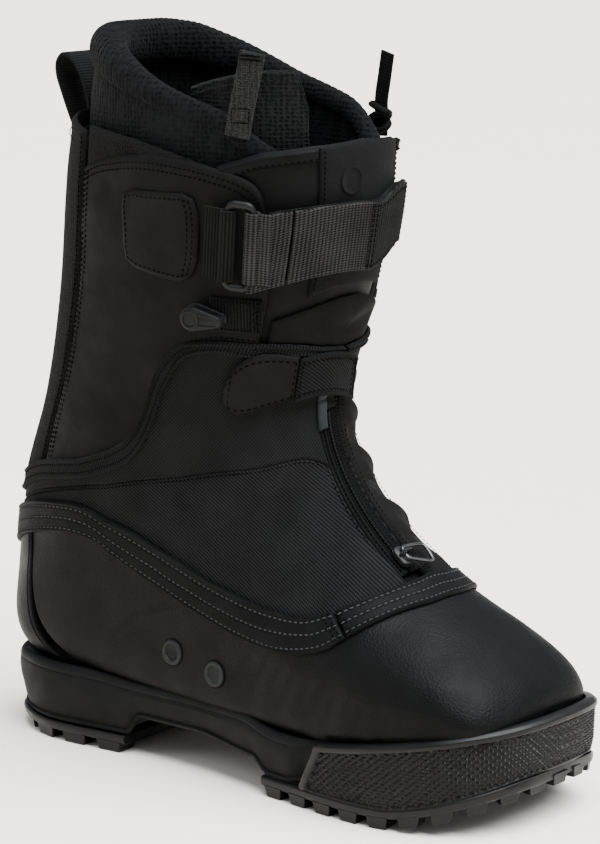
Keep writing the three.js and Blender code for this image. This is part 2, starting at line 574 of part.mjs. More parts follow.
add("lining_foot", "liner", footTube(LINING));
const LINING_FRONT = 69;
const liningTop = heightOf([[0, 290], [60, 293], [90, 298], [124, 305], [180, 311]]);
add("lining_shaft", "liner",
  cuff(LINING_FRONT, 360 - LINING_FRONT, () => 8.75, (a) => stationAt(liningTop(a), a), 20, 6, LINING));

const TONGUE_EDGE = 66;
const tongueTop = heightOf([[0, 309], [30, 307], [50, 304], [66, 297], [180, 297]]);
add("tongue", "leather", cuff(-TONGUE_EDGE, TONGUE_EDGE, () => 8.85, (a) => stationAt(tongueTop(a), a), 16, 6, TONGUE));
const tongueFace = [-2.9, -1.5];
add("tongue_panel", "textile",
  cuff(-26, 28, () => stationAt(240, 0), (a) => stationAt(tongueTop(a) - 8, a), 8, 6, tongueFace));
add("tongue_binding", "leather",
  cuff(-45, 45, (a) => stationAt(tongueTop(a) - 7, a), (a) => stationAt(tongueTop(a) - 0.5, a), 14, 1, tongueFace));

// ---- inner boot -----------------------------------------------------------------------------------------------

const linerTop = heightOf([[0, 298], [40, 300], [52, 309], [63, 321], [75, 326], [92, 333], [106, 341], [118, 348], [138, 357], [156, 360],
  [172, 356], [180, 354]]);
const ROLL = { centre: -11.3, halfThick: 3.9, halfHigh: 6.5 };
add("liner_foot", "liner", footTube(LINER, 1));
add("liner_cuff", "liner",
  cuff(0, 360, () => 8.72, (a) => stationAt(linerTop(a) - 2 * ROLL.halfHigh - 1.4, a), 30, 5, LINER, true));
const rollRing = (degrees) =>
  Array.from({ length: 8 }, (_, i) => {
    const angle = (i * Math.PI) / 4;
    const height = linerTop(degrees) - ROLL.halfHigh * (1 - Math.cos(angle));
    return onSurface(stationAt(height, degrees), degrees, ROLL.centre + ROLL.halfThick * Math.sin(angle));
  });
add("liner_collar", "liner", sweep(Array.from({ length: 30 }, (_, i) => rollRing(i * 12)), true));
add("liner_flap", "liner", cuff(26, 84, (a) => stationAt(250, a),
  (a) => stationAt(341 - 0.006 * (a - 48) ** 2 - 15 * smoothShare(a, 34, 26), a), 10, 6, LINER_FLAP));
add("footbed", "foam", underFoot(FOOTBED, 2, 7, 11));

// ---- pull tabs ------------------------------------------------------------------------------------------------

// A webbing strip that follows a path in the x-y plane, with its width along z.
function webbingPath(points, width, thickness, count, closed = false) {
  const curve = new THREE.CatmullRomCurve3(points.map(([x, y]) => new THREE.Vector3(x, y, 0)), closed, "centripetal");
  const rings = [];
  for (let i = 0; i < count + (closed ? 0 : 1); i++) {
    const [p, t] = [curve.getPointAt(i / count), curve.getTangentAt(i / count)];
    const across = new THREE.Vector3(-t.y, t.x, 0).multiplyScalar(thickness / 2);
    const corner = (s, z) => p.clone().addScaledVector(across, s).add(new THREE.Vector3(0, 0, (z * width) / 2));
    rings.push([corner(1, -1), corner(1, 1), corner(-1, 1), corner(-1, -1)]);
  }
  return sweep(rings, closed);
}

// The loop at the back stands behind the collar, its width across the boot.
const REAR_LOOP = [[0, 0], [-1, 14], [-9, 30], [-17, 34], [-21, 28], [-15, 10], [-7, -6], [-2, -12]];
const rearFoot = onSurface(stationAt(306, 180), 180, 2.2);
const rearLoop = add("rear_pull_loop", "webbing", webbingPath(REAR_LOOP, 20, 2, 22, true));
rearLoop.position.copy(rearFoot);
rearLoop.quaternion.setFromEuler(new THREE.Euler(Math.PI / 2, 0, 0));

const TAB_THICKNESS = 1.8;
const frontTab = add("front_pull_tab", "pullTab", new THREE.BoxGeometry(12, 40, TAB_THICKNESS).translate(0, 20, 0));
place(frontTab, surfaceFrame(stationAt(311, 56), 56, -5));
const sideTab = add("side_pull_tab", "webbing", new THREE.BoxGeometry(10, 42, TAB_THICKNESS).translate(0, 21, 0));
place(sideTab, surfaceFrame(stationAt(303, -62), -62, 3));

// ---- zipped lace cover ----------------------------------------------------------------------------------------

const zipStrip = (from, to, layer, lowEnd = ZIP_STATIONS[0], highEnd = ZIP_STATIONS[1]) =>
  sheet(1, 12, (u, v, face) => onSurface(lowEnd + (highEnd - lowEnd) * v, from + (to - from) * u, layer[face]));
add("zip_tape_medial", "textile", zipStrip(ZIP_CENTRE + 0.9, ZIP_CENTRE + ZIP_HALF_TAPE, [-1.6, -0.2]));
add("zip_tape_lateral", "textile", zipStrip(ZIP_CENTRE - ZIP_HALF_TAPE, ZIP_CENTRE - 0.9, [-1.6, -0.2]));
add("zip_teeth", "plastic", zipStrip(ZIP_CENTRE - 0.6, ZIP_CENTRE + 0.6, [-1.6, 0.3]));

const SLIDER = { station: 4.52, length: 11, width: 7.5, level: 0.9, thick: 3, pivot: 1.5 };
const sliderBody = join([
  new THREE.BoxGeometry(SLIDER.width, SLIDER.length, SLIDER.thick).translate(0, 0, SLIDER.thick / 2),
  new THREE.BoxGeometry(6.5, 1.8, 4).translate(0, 0, SLIDER.thick + 1.5),
]);
const pullHole = new THREE.BoxGeometry(4, 5, 2.4).translate(0, 0, SLIDER.thick + SLIDER.pivot);
const slider = add("zip_slider", "metal", cut(sliderBody, pullHole));
place(slider, surfaceFrame(SLIDER.station, ZIP_CENTRE, SLIDER.level));

// The pull is a wire bent to a trapezoid whose narrow end passes under the slider's bridge.
const wire = (points, radius, count) => {
  const curve = new THREE.CatmullRomCurve3(points.map((p) => new THREE.Vector3(...p)), true, "centripetal");
  return new THREE.TubeGeometry(curve, count, radius, 5, true);
};
const PULL = [[-3, 0, 0], [3, 0, 0], [3.6, 1, 0], [6, 16, 0], [5, 17.5, 0], [-5, 17.5, 0], [-6, 16, 0], [-3.6, 1, 0]];
const pullFrame = new THREE.Group();
slider.add(pullFrame);
pullFrame.position.set(0, 0, SLIDER.thick + SLIDER.pivot);
pullFrame.rotation.set(0, 0.1, -Math.PI / 2 - 0.2);
const pull = add("zip_pull", "metal", wire(PULL.map(([x, y, z]) => [x, y - 0.2, z]), 0.7, 28), pullFrame);

add("zip_garage", "textile", patch([[7.05, 14.6], [7.05, 17.6], [7.75, 17.2], [7.75, 14.6]], 2, 3, PATCH));

// ---- ankle tab, vents, strap, ring and hooks ------------------------------------------------------------------

const ANKLE = [2.7, 4.2];
const ankleEdge = { low: [[-9, 7.53], [-2, 7.62], [28, 7.97], [36, 8.1], [44, 8.42], [52, 9]],
  high: [[-9, 8.5], [-2, 8.62], [28, 8.89], [40, 9.3], [46, 9.38], [52, 9.2]] };
const along = (pairs) => (degrees) => {
  const i = Math.max(1, pairs.findIndex(([angle]) => angle >= degrees));
  const [[a0, k0], [a1, k1]] = [pairs[i - 1], pairs[i]];
  return k0 + ((k1 - k0) * (degrees - a0)) / (a1 - a0);
};
add("ankle_band", "textile", cuff(-9, 27.6, along(ankleEdge.low), along(ankleEdge.high), 10, 3, ANKLE));
add("ankle_tab", "leather", cuff(28.4, 52, along(ankleEdge.low), along(ankleEdge.high), 8, 3, ANKLE));

const VENTS = [[6.3, 112], [5.74, 113.5]];
const ventProfile = [[0, 0], [6, 0], [6, 1.1], [5.2, 1.9], [3.7, 1.9], [3.3, 0.8], [0, 0.8]];
for (const [name, side] of SIDES)
  VENTS.forEach(([station, degrees], i) => {
    const ring = new THREE.LatheGeometry(ventProfile.map(([r, z]) => new THREE.Vector2(r, z)), 14).rotateX(Math.PI / 2);
    const vent = add("vent_" + name + "_" + (i + 1), "plastic", fromManifold(toManifold(ring)));
    place(vent, surfaceFrame(station, degrees * side, 0.6));
  });

const anchorCorners = [[12.04, 98.5], [11.32, 68.5], [12.78, 70.5], [13.05, 101]];
for (const [name, side] of SIDES) add("strap_anchor_" + name, "leather", patch(anchorCorners, 6, 3, PATCH, side));

const ringFrame = surfaceFrame(11.7, 55, RING.level);
ringFrame.quaternion.multiply(new THREE.Quaternion().setFromAxisAngle(new THREE.Vector3(0, 0, 1), RING.lean));
const roundedRect = (w, h, r) => {
  const shape = new THREE.Shape();
  const corners = [[w / 2 - r, h / 2 - r], [r - w / 2, h / 2 - r], [r - w / 2, r - h / 2], [w / 2 - r, r - h / 2]];
  corners.forEach(([x, y], i) => shape.absarc(x, y, r, (i * Math.PI) / 2, ((i + 1) * Math.PI) / 2, false));
  return shape;
};
const ringShape = roundedRect(RING.width, RING.height, 3.4);
ringShape.holes.push(roundedRect(RING.width - 2 * RING.bar, RING.height - 2 * RING.bar, 1));
const ringSolid = new THREE.ExtrudeGeometry(ringShape, { depth: RING.thickness, bevelEnabled: false, curveSegments: 3 });
place(add("strap_ring", "metal", ringSolid.translate(0, 0, -RING.thickness / 2)), ringFrame);

// Webbing doubled round an upright bar: open on the side that its tail leaves from.
function eye(outer, inner, height, tail) {
  const shape = new THREE.Shape().absarc(0, 0, outer, 0, Math.PI * 2);
  shape.holes.push(new THREE.Path().absarc(0, 0, inner, 0, Math.PI * 2));
  const tube = new THREE.ExtrudeGeometry(shape, { depth: height, bevelEnabled: false, curveSegments: 7 });
  tube.translate(0, 0, -height / 2).rotateX(-Math.PI / 2);
  const [length, drop] = tail;
  const flat = new THREE.BoxGeometry(Math.abs(length), height, outer - inner);
  return [tube, flat.translate(length / 2 + Math.sign(length) * inner, 0, drop)];
}
const BAR_X = RING.width / 2 - RING.bar / 2;
const EYE = { outer: 3.7, inner: 2.35, height: 34 };
const chape = add("strap_chape", "webbing", join(eye(EYE.outer, EYE.inner, EYE.height, [-9, -2.4])));
place(chape, ringFrame);
chape.translateX(-BAR_X);

// A speed hook: a base on its webbing tab, a post, and a lip whose free end points away from the throat.
const HOOK = { length: 21, height: 12, base: 2, gap: 4.4, lip: 2, post: 3.4 };
function hookSolid() {
  const total = HOOK.base + HOOK.gap + HOOK.lip;
  const [half, reach] = [HOOK.length / 2, HOOK.length / 2 - HOOK.post];
  const lip = HOOK.base + HOOK.gap;
  const profile = [[-half, 0], [half, 0], [half, total - 1.4], [half - 1, total], [1 - half, total], [-half, lip + 0.6],
    [-half, lip], [reach, lip], [reach, HOOK.base], [-half, HOOK.base]];
  const side = new THREE.Shape(profile.map(([x, y]) => new THREE.Vector2(x, y)));
  const bar = new THREE.ExtrudeGeometry(side, { depth: HOOK.height, bevelEnabled: false });
  bar.translate(0, 0, -HOOK.height / 2).rotateX(Math.PI / 2);
  const drop = new THREE.Shape();
  drop.absarc(-half + HOOK.height / 2, 0, HOOK.height / 2, Math.PI * 0.42, Math.PI * 1.58, false);
  drop.lineTo(half - 2.2, -2.6);
  drop.absarc(half - 2.6, 0, 2.6, -Math.PI / 2, Math.PI / 2, false);
  const outlineSolid = new THREE.ExtrudeGeometry(drop, { depth: 3 * total, bevelEnabled: false, curveSegments: 9 });
  outlineSolid.translate(0, 0, -total);
  return fromManifold(toManifold(bar).intersect(toManifold(outlineSolid)));
}
const hookPatch = [[10.35, 60], [9.76, 43.8], [10.43, 45.5], [10.98, 62.5]];
for (const [name, side] of SIDES) {
  add("hook_tab_" + name, "webbing", patch(hookPatch, 4, 2, PATCH, side));
  const hook = place(add("speed_hook_" + name, "plastic", hookSolid()), surfaceFrame(10.66, 62 * side, PATCH[1] + 0.9));
  if (side < 0) hook.rotateZ(Math.PI);
  hook.rotateZ(0.16 * side);
}
add("tongue_badge", "rubberTrim", fromManifold(toManifold(new THREE.CylinderGeometry(7, 7, 1, 24))).rotateX(Math.PI / 2));
place(boot.children[boot.children.length - 1], surfaceFrame(12.46, 12, -0.6));

const strapEdges = [[0, 10.36, 11.93], [25, 10.5, 12.02], [49, 10.74, 12.17], [68, 11.25, 12.66], [98, 12.04, 13.1]];
// The strap climbs a little more on the lateral side before it comes down to its anchor.
const lateralRise = (a) => 0.3 * smooth(-a, 2, 20) * (1 - smooth(-a, 34, 62));
const strapLow = (a) => along(strapEdges.map(([d, low]) => [d, low]))(Math.abs(a)) + lateralRise(a);
const strapHigh = (a) => along(strapEdges.map(([d, , high]) => [d, high]))(Math.abs(a)) + lateralRise(a);
add("strap_inner", "webbing", cuff(-66, 47, strapLow, strapHigh, 20, 2, STRAP.inner));
const fold = add("strap_fold", "webbing", join(eye(EYE.outer, EYE.inner, EYE.height, [7, 1.4])));
place(fold, ringFrame);
fold.translateX(BAR_X);
add("strap_outer", "webbing", cuff(4.4, 38.5, strapLow, strapHigh, 9, 2, (a) => {
  const rise = 2 * smoothShare(a, 26, 38);
  return STRAP.outer.map((level) => level + rise);
}));
add("strap_end", "textile", cuff(-24, 4, (a) => strapLow(a) + 0.1 * smoothShare(a, -12, -24), strapHigh, 7, 2, STRAP.outer));

// The origin is on the ground under the middle of the whole boot.
boot.updateMatrixWorld(true);
const bounds = new THREE.Box3().setFromObject(boot, true);
const middle = bounds.getCenter(new THREE.Vector3()).setZ(bounds.min.z);
for (const child of boot.children) child.position.sub(middle);

export default boot;
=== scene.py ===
# Looks for the snowboard boot: every panel, seam and strap is rebuilt in detail around the fixed frame.
import bpy
import math

import numpy as np
from mathutils import Matrix, Vector


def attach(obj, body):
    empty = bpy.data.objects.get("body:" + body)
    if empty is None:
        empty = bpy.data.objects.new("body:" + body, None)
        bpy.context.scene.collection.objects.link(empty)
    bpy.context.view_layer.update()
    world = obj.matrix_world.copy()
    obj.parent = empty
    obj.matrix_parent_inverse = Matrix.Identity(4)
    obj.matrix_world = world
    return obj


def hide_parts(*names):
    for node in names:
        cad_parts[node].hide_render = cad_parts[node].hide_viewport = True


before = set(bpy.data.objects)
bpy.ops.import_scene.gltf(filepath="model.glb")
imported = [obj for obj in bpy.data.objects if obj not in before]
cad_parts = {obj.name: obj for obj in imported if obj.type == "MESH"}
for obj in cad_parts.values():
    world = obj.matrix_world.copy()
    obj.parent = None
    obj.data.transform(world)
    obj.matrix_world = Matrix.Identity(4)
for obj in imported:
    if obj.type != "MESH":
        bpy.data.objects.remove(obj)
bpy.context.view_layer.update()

MM = 0.001
ORIGIN = np.array([-4.14565, 0.43639, 0.0])  # the row frame's origin, in the last's own millimetres


# ---- camera, light and floor ----

AIM = Vector((0.00815, -0.00044, 0.170))
AZIMUTH, ELEVATION, DISTANCE = math.radians(38), math.radians(11), 1.5
SENSOR = 36
LENS = 3120 * SENSOR / 844


def make_camera():
    data = bpy.data.cameras.new("camera")
    data.lens = LENS
    data.sensor_width = SENSOR
    data.clip_end = 100
    camera = bpy.data.objects.new("camera", data)
    bpy.context.scene.collection.objects.link(camera)
    back = Vector((math.sin(AZIMUTH) * math.cos(ELEVATION), -math.cos(AZIMUTH) * math.cos(ELEVATION),
                   math.sin(ELEVATION)))
    camera.location = AIM + DISTANCE * back
    camera.rotation_euler = back.to_track_quat("Z", "Y").to_euler()
    bpy.context.scene.camera = camera


def make_light(name, kind, energy, place, aim, size=1.0, color=(1, 1, 1), angle=0.5):
    data = bpy.data.lights.new(name, kind)
    data.energy = energy
    data.color = color
    if kind == "AREA":
        data.shape = "DISK"
        data.size = size
    else:
        data.angle = angle
    lamp = bpy.data.objects.new(name, data)
    bpy.context.scene.collection.objects.link(lamp)
    lamp.location = place
    lamp.rotation_euler = (Vector(place) - Vector(aim)).to_track_quat("Z", "Y").to_euler()
    return lamp


def make_world(color, strength):
    world = bpy.data.worlds.new("studio")
    world.use_nodes = True
    node = world.node_tree.nodes["Background"]
    node.inputs["Color"].default_value = (*color, 1)
    node.inputs["Strength"].default_value = strength
    bpy.context.scene.world = world


# ---- materials ----

M = {}


class Shader:
    """A small builder of node materials on one Principled shader."""

    def __init__(self, name, roughness=0.6, metallic=0.0, specular=0.5, sheen=0.0, coat=0.0):
        self.material = M[name] = bpy.data.materials.new(name)
        self.material.use_nodes = True
        self.tree = self.material.node_tree
        self.bsdf = self.tree.nodes["Principled BSDF"]
        self.bsdf.inputs["Roughness"].default_value = roughness
        self.bsdf.inputs["Metallic"].default_value = metallic
        self.bsdf.inputs["Specular IOR Level"].default_value = specular
        self.bsdf.inputs["Sheen Weight"].default_value = sheen
        self.bsdf.inputs["Sheen Roughness"].default_value = 0.5
        self.bsdf.inputs["Coat Weight"].default_value = coat
        self.where = self.add("ShaderNodeTexCoord", out="Object")

    def add(self, kind, inputs=(), out=0, **settings):
        """A node with its settings and its inputs, as (key, value or socket) pairs; gives one output."""
        node = self.tree.nodes.new(kind)
        for key, value in settings.items():
            setattr(node, key, value)
        for key, value in inputs:
            self.wire(node.inputs[key], value)
        return node.outputs[out]

    def wire(self, socket, value):
        if isinstance(value, bpy.types.NodeSocket):
            self.tree.links.new(value, socket)
        else:
            socket.default_value = value

    def flat(self):
        """The panel's own millimetres, along it and across it."""
        return self.add("ShaderNodeAttribute", out="Vector", attribute_name="flat")

    def noise(self, scale, detail=4.0, rough=0.55):
        inputs = ("Vector", self.where), ("Scale", scale), ("Detail", detail), ("Roughness", rough)
        return self.add("ShaderNodeTexNoise", inputs, "Fac", noise_dimensions="3D")

    def cells(self, scale, randomness=1.0):
        inputs = ("Vector", self.where), ("Scale", scale), ("Randomness", randomness)
        return self.add("ShaderNodeTexVoronoi", inputs, "Distance", feature="F1")

    def math(self, operation, a, b=0.0):
        return self.add("ShaderNodeMath", ((0, a), (1, b)), operation=operation)

    def ramp(self, value, low, high, to_low=0.0, to_high=1.0):
        inputs = ("Value", value), ("From Min", low), ("From Max", high), ("To Min",
                                                                           to_low), ("To Max", to_high)
        return self.add("ShaderNodeMapRange", inputs, "Result")

    def split(self, vector):
        self.add("ShaderNodeSeparateXYZ", ((0, vector),))
        return self.tree.nodes[-1].outputs[:2]

    def lines(self, across, along, pitch, offset=0.0):
        """Waves, 0 to 1, across a direction given by two weights on the panel's millimetres."""
        x, y = self.split(self.flat())
        total = self.math("ADD", self.math("MULTIPLY", x, across), self.math("MULTIPLY", y, along))
        turns = self.math("ADD", self.math("MULTIPLY", total, 2 * math.pi / pitch), offset)
        return self.math("MULTIPLY_ADD", self.math("SINE", turns), 0.5)

    def bump(self, height, distance, strength=1.0, under=None):
        inputs = [("Height", height), ("Distance", distance), ("Strength", strength)]
        return self.add("ShaderNodeBump", inputs + [("Normal", under)] * (under is not None), "Normal")

    def color(self, dark, light, share):
        mixed = self.add("ShaderNodeMix", ((0, share),), 2, data_type="RGBA")
        self.wire(mixed.node.inputs[6], (*dark, 1))
        self.wire(mixed.node.inputs[7], (*light, 1))
        self.wire(self.bsdf.inputs["Base Color"], mixed)

    def rough(self, value, low, high):
        self.wire(self.bsdf.inputs["Roughness"], self.ramp(value, 0.3, 0.7, low, high))

    def normal(self, socket):
        self.wire(self.bsdf.inputs["Normal"], socket)


def grey(level, warm=0.0):
    """A near-neutral colour, warmer for a positive warm."""
    return (level * (1 + warm - 0.04), level, level * (1.04 - warm))


def leather(name, level, warm, rough, grain=900.0, depth=0.00012, wrinkle=0.0, coat=0.0, spec=0.045):
    s = Shader(name, specular=spec, coat=coat)
    pebble = s.cells(grain)
    fine = s.noise(2600, 5)
    broad = s.noise(38, 4, 0.6)
    s.color(grey(level * 0.72, warm), grey(level * 1.3, warm * 0.7),
            s.ramp(s.math("ADD", broad, s.math("MULTIPLY", fine, 0.25)), 0.45, 0.8))
    s.rough(s.noise(60, 6), rough - 0.07, rough + 0.1)
    under = s.bump(s.noise(120, 3), 0.0006, 0.25 + wrinkle)
    under = s.bump(fine, 0.00006, 0.5, under)
    s.normal(s.bump(s.ramp(pebble, 0.1, 0.75), depth, 0.8, under))


def fabric(name, level, warm, across, along, pitch, depth=0.00025, cross=0.35, fuzz=0.012):
    """A woven cloth: diagonal or straight ribs broken up by the crossing yarn."""
    s = Shader(name, roughness=0.9, specular=0.04, sheen=fuzz)
    ribs = s.lines(across, along, pitch)
    yarn = s.lines(-along, across, pitch * 0.62)
    weave = s.math("ADD", s.math("MULTIPLY", ribs, 1 - cross), s.math("MULTIPLY", yarn, cross))
    broad = s.noise(45, 4)
    mixed = s.math("ADD", s.math("MULTIPLY", weave, 0.75), s.math("MULTIPLY", broad, 0.5))
    s.color(grey(level * 0.15, warm), grey(level * 2.3, warm * 0.6), s.ramp(mixed, 0.35, 1.05))
    s.rough(s.noise(700, 3), 0.78, 0.95)
    under = s.bump(s.noise(160, 3), 0.0008, 0.35)
    s.normal(s.bump(weave, depth, 0.9, under))


def knit(name, level, warm, scale, depth=0.0006, fuzz=0.015):
    s = Shader(name, roughness=0.95, specular=0.03, sheen=fuzz)
    cell = s.cells(scale, randomness=0.35)
    hair = s.noise(3000, 3)
    s.color(grey(level * 0.3, warm), grey(level * 1.7, warm),
            s.ramp(s.math("ADD", cell, s.math("MULTIPLY", hair, 0.5)), 0.3, 1.1))
    under = s.bump(s.noise(140, 3), 0.0012, 0.5)
    under = s.bump(hair, 0.0002, 0.4, under)
    s.normal(s.bump(s.ramp(cell, 0.05, 0.6), depth, 0.9, under))


def moulded(name, level, warm, rough, spec=0.08, metallic=0.0, speckle=0.00005):
    s = Shader(name, specular=spec, metallic=metallic)
    broad = s.noise(30, 4, 0.6)
    fine = s.noise(1800, 4)
    s.color(grey(level * 0.75, warm), grey(level * 1.3, warm * 0.7), s.ramp(broad, 0.35, 0.7))
    s.rough(s.noise(90, 5), rough - 0.06, rough + 0.1)
    s.normal(s.bump(fine, speckle, 0.6))


leather("toe_leather", 0.0018, 0.0, 0.5, spec=0.065)
leather("band_leather", 0.0028, 0.0, 0.6)
leather("shaft_leather", 0.0028, 0.05, 0.58, grain=1300, depth=0.00006, wrinkle=0.35)
leather("tongue_leather", 0.0036, 0.02, 0.6, grain=1500, depth=0.00005, wrinkle=0.2)
leather("tab_leather", 0.0034, 0.08, 0.55, grain=1100, depth=0.0001)
leather("suede", 0.0042, 0.1, 0.85, grain=2200, depth=0.0001, wrinkle=0.5)
fabric("twill_down", 0.0055, 0.02, 0.533, 0.846, 1.5)
fabric("twill_up", 0.0055, 0.03, -0.69, 0.72, 1.35)
fabric("twill_down_lateral", 0.0055, 0.02, 0.533, 0.846, 1.5)
fabric("twill_up_lateral", 0.0055, 0.03, -0.69, 0.72, 1.35)
fabric("panel_cloth", 0.0044, 0.02, 1.0, 0.9, 1.3)
fabric("rib_cloth", 0.0044, 0.0, 1.0, 0.25, 1.6, depth=0.0004)
fabric("webbing", 0.0125, 0.12, 1.0, 0.0, 1.9, depth=0.0003, cross=0.5)
fabric("tape", 0.0036, 0.02, 0.0, 1.0, 1.1, depth=0.0002)
knit("pull_web", 0.012, 0.04, 950, depth=0.0007, fuzz=0.02)
knit("collar_mesh", 0.0034, 0.08, 620, depth=0.0005)
knit("liner_knit", 0.0036, -0.03, 420)
knit("liner_mesh", 0.0052, 0.0, 520, depth=0.0008)
moulded("rubber", 0.0016, 0.0, 0.4, spec=0.17)
moulded("foam", 0.0036, -0.02, 0.62, speckle=0.00008)
moulded("plastic", 0.0032, 0.02, 0.42)
moulded("grey_plastic", 0.013, -0.02, 0.5)
moulded("metal", 0.02, 0.03, 0.36, metallic=0.6)
moulded("thread", 0.0012, 0.0, 0.8, spec=0.02)
moulded("thread_light", 0.026, 0.0, 0.75)
moulded("thread_mid", 0.022, 0.0, 0.75)
moulded("black", 0.001, 0.0, 0.8)
knit("board", 0.05, 0.0, 300, fuzz=0.0)
fabric("webbing_dark", 0.0036, 0.05, 1.0, 0.0, 1.9, depth=0.0002, cross=0.5)
fabric("rib_webbing", 0.0034, 0.04, 1.0, 0.0, 1.5, depth=0.0002, cross=0.3)
fabric("strap_tip", 0.0062, 0.06, 1.0, 0.0, 1.9, depth=0.0002, cross=0.5)
moulded("garage", 0.012, -0.1, 0.55)
moulded("bright_metal", 0.075, 0.0, 0.3, metallic=1.0)
moulded("ring_metal", 0.011, 0.02, 0.38, metallic=0.5)
moulded("hook_plastic", 0.0052, 0.0, 0.4)


# ---- the last's surface ----

# Front point, back point, share of the depth at which it is widest, half widths, squareness of each half.
STATIONS = np.array([
    (150, 50, 151, 40, 0.50, 10, 10, 2.4, 2.4), (146, 62, 149.5, 36, 0.45, 33, 30, 2.2, 2.8),
    (133, 75, 139, 33, 0.42, 49, 46, 2.1, 3.6), (111, 88, 110, 31, 0.40, 57, 54, 2.1, 5),
    (84, 103, 70, 30, 0.38, 59, 56, 2.0, 6), (57, 124, 22, 30, 0.36, 55, 54, 2.0, 6),
    (37, 148, -36, 32, 0.36, 50, 50, 2.1, 6), (27, 172, -100, 35, 0.38, 47, 47, 2.2, 5),
    (27, 194, -154, 42, 0.43, 48, 47, 2.3, 3.6), (32, 216, -164, 76, 0.45, 52, 51, 2.4, 2.4),
    (39, 240, -158, 122, 0.47, 56, 56, 2.5, 2.2), (43, 262, -141, 170, 0.48, 58, 59, 2.5, 2.2),
    (46, 282, -129, 222, 0.50, 60, 61, 2.5, 2.3), (47, 300, -123, 272, 0.50, 62, 62, 2.5, 2.3),
    (47, 312, -118, 312, 0.50, 63, 62, 2.5, 2.3), (47, 330, -113, 350, 0.50, 62, 61, 2.5, 2.3),
    (48, 350, -108, 388, 0.50, 61, 60, 2.5, 2.3)], float)
PADDED = np.vstack([2 * STATIONS[:1] - STATIONS[1:2], STATIONS, 2 * STATIONS[-1:] - STATIONS[-2:-1]])


def turn_angles(count):
    return np.linspace(0, 2 * np.pi, count, endpoint=False)


def unit(v):
    return v / np.maximum(np.linalg.norm(v, axis=-1, keepdims=True), 1e-9)


def distances(line):
    """How far along a line each of its points is."""
    return np.concatenate([[0], np.cumsum(np.linalg.norm(np.diff(line, axis=0), axis=1))])


def from_front(a):
    """Degrees from the front, the same on both sides."""
    return np.where(np.abs(a) > 180, 360 - np.abs(a), np.abs(a))


def bell(x, width):
    return np.exp(-(x / width) ** 2)


def hoop(r, z, angle, x=0, y=0):
    """A level ring of points."""
    return np.stack([x + r * np.cos(angle), y + r * np.sin(angle), np.full(len(angle), z)], 1)


def point(k, degrees):
    """A point of the upper's outer surface, in the last's millimetres."""
    k, degrees = np.broadcast_arrays(np.asarray(k, float), np.asarray(degrees, float))
    k = np.clip(k, 0, len(STATIONS) - 1)
    i = np.minimum(np.floor(k).astype(int), len(STATIONS) - 2)
    f = (k - i)[..., None]
    a, b, c, d = (PADDED[i + j] for j in range(4))
    row = 0.5 * (2 * b + (c - a) * f + (2 * a - 5 * b + 4 * c - d) * f * f
                 + (3 * b - a - 3 * c + d) * f ** 3)
    fx, fz, bx, bz, widest, medial, lateral, front, back = np.moveaxis(row, -1, 0)
    t = np.radians(degrees)
    cos, sin = np.cos(t), np.sin(t)
    n = np.where(cos >= 0, front, back)
    r = (np.abs(cos) ** n + np.abs(sin) ** n) ** (-1 / n)
    share = widest + np.where(cos >= 0, 1 - widest, widest) * r * cos
    width = np.where(sin >= 0, medial, lateral)
    return np.stack([bx + (fx - bx) * share, -width * r * sin, bz + (fz - bz) * share], -1)


def normal(k, degrees):
    k = np.asarray(k, float)
    along = point(k + 0.04, degrees) - point(np.maximum(k - 0.04, 0), degrees)
    around = point(k, np.asarray(degrees, float) + 1.5) - point(k, np.asarray(degrees, float) - 1.5)
    n = np.cross(along, around)
    return unit(n)


def at(k, degrees, offset=0.0):
    offset = np.asarray(offset, float)
    return point(k, degrees) + offset[..., None] * normal(k, degrees)


def station_at(height, degrees):
    height, degrees = np.broadcast_arrays(np.asarray(height, float), np.asarray(degrees, float))
    low, high = np.full(height.shape, 7.0), np.full(height.shape, len(STATIONS) - 1.0)
    for _ in range(30):
        middle = (low + high) / 2
        below = point(middle, degrees)[..., 2] < height
        low, high = np.where(below, middle, low), np.where(below, high, middle)
    return (low + high) / 2


def fixed(k):
    return lambda a: k + 0 * a


def up_to(height, less=0.0):
    """Where the surface reaches a height, a number or a function of the angle, as stations for angles."""
    return lambda a: station_at(height(a) - less if callable(height) else height, a)


def profile(pairs):
    """A function through pairs of degrees and values, the same on both sides of the boot."""
    x, y = np.array(pairs, float).T

    return lambda degrees: np.interp(from_front(np.asarray(degrees, float)), x, y)


def spline(points, steps=24, closed=False):
    """A centripetal Catmull-Rom curve, as close points."""
    p = np.array(points, float)
    ring = np.vstack([p[-1:], p, p[:2]]) if closed else np.vstack([2 * p[:1] - p[1:2], p,
                                                                   2 * p[-1:] - p[-2:-1]])
    f = np.linspace(0, 1, steps, endpoint=False)[:, None]
    out = []
    for i in range(1, len(ring) - 2):
        a, b, c, d = ring[i - 1:i + 3]
        da, db, dc = (max(np.linalg.norm(q - r) ** 0.5, 1e-4) for q, r in ((b, a), (c, b), (d, c)))
        tb = ((b - a) / da - (c - a) / (da + db) + (c - b) / db) * db
        tc = ((c - b) / db - (d - b) / (db + dc) + (d - c) / dc) * db
        out.append(b + tb * f + (3 * (c - b) - 2 * tb - tc) * f ** 2 + (2 * (b - c) + tb + tc) * f ** 3)
    return np.vstack([*out, p[:1] if closed else p[-1:]])


def by_length(line):
    """How far along a line each of its points is, from 0 to 1, and its length."""
    steps = np.linalg.norm(np.diff(line, axis=0), axis=1)
    return np.concatenate([[0], np.cumsum(steps)]) / steps.sum(), steps.sum()


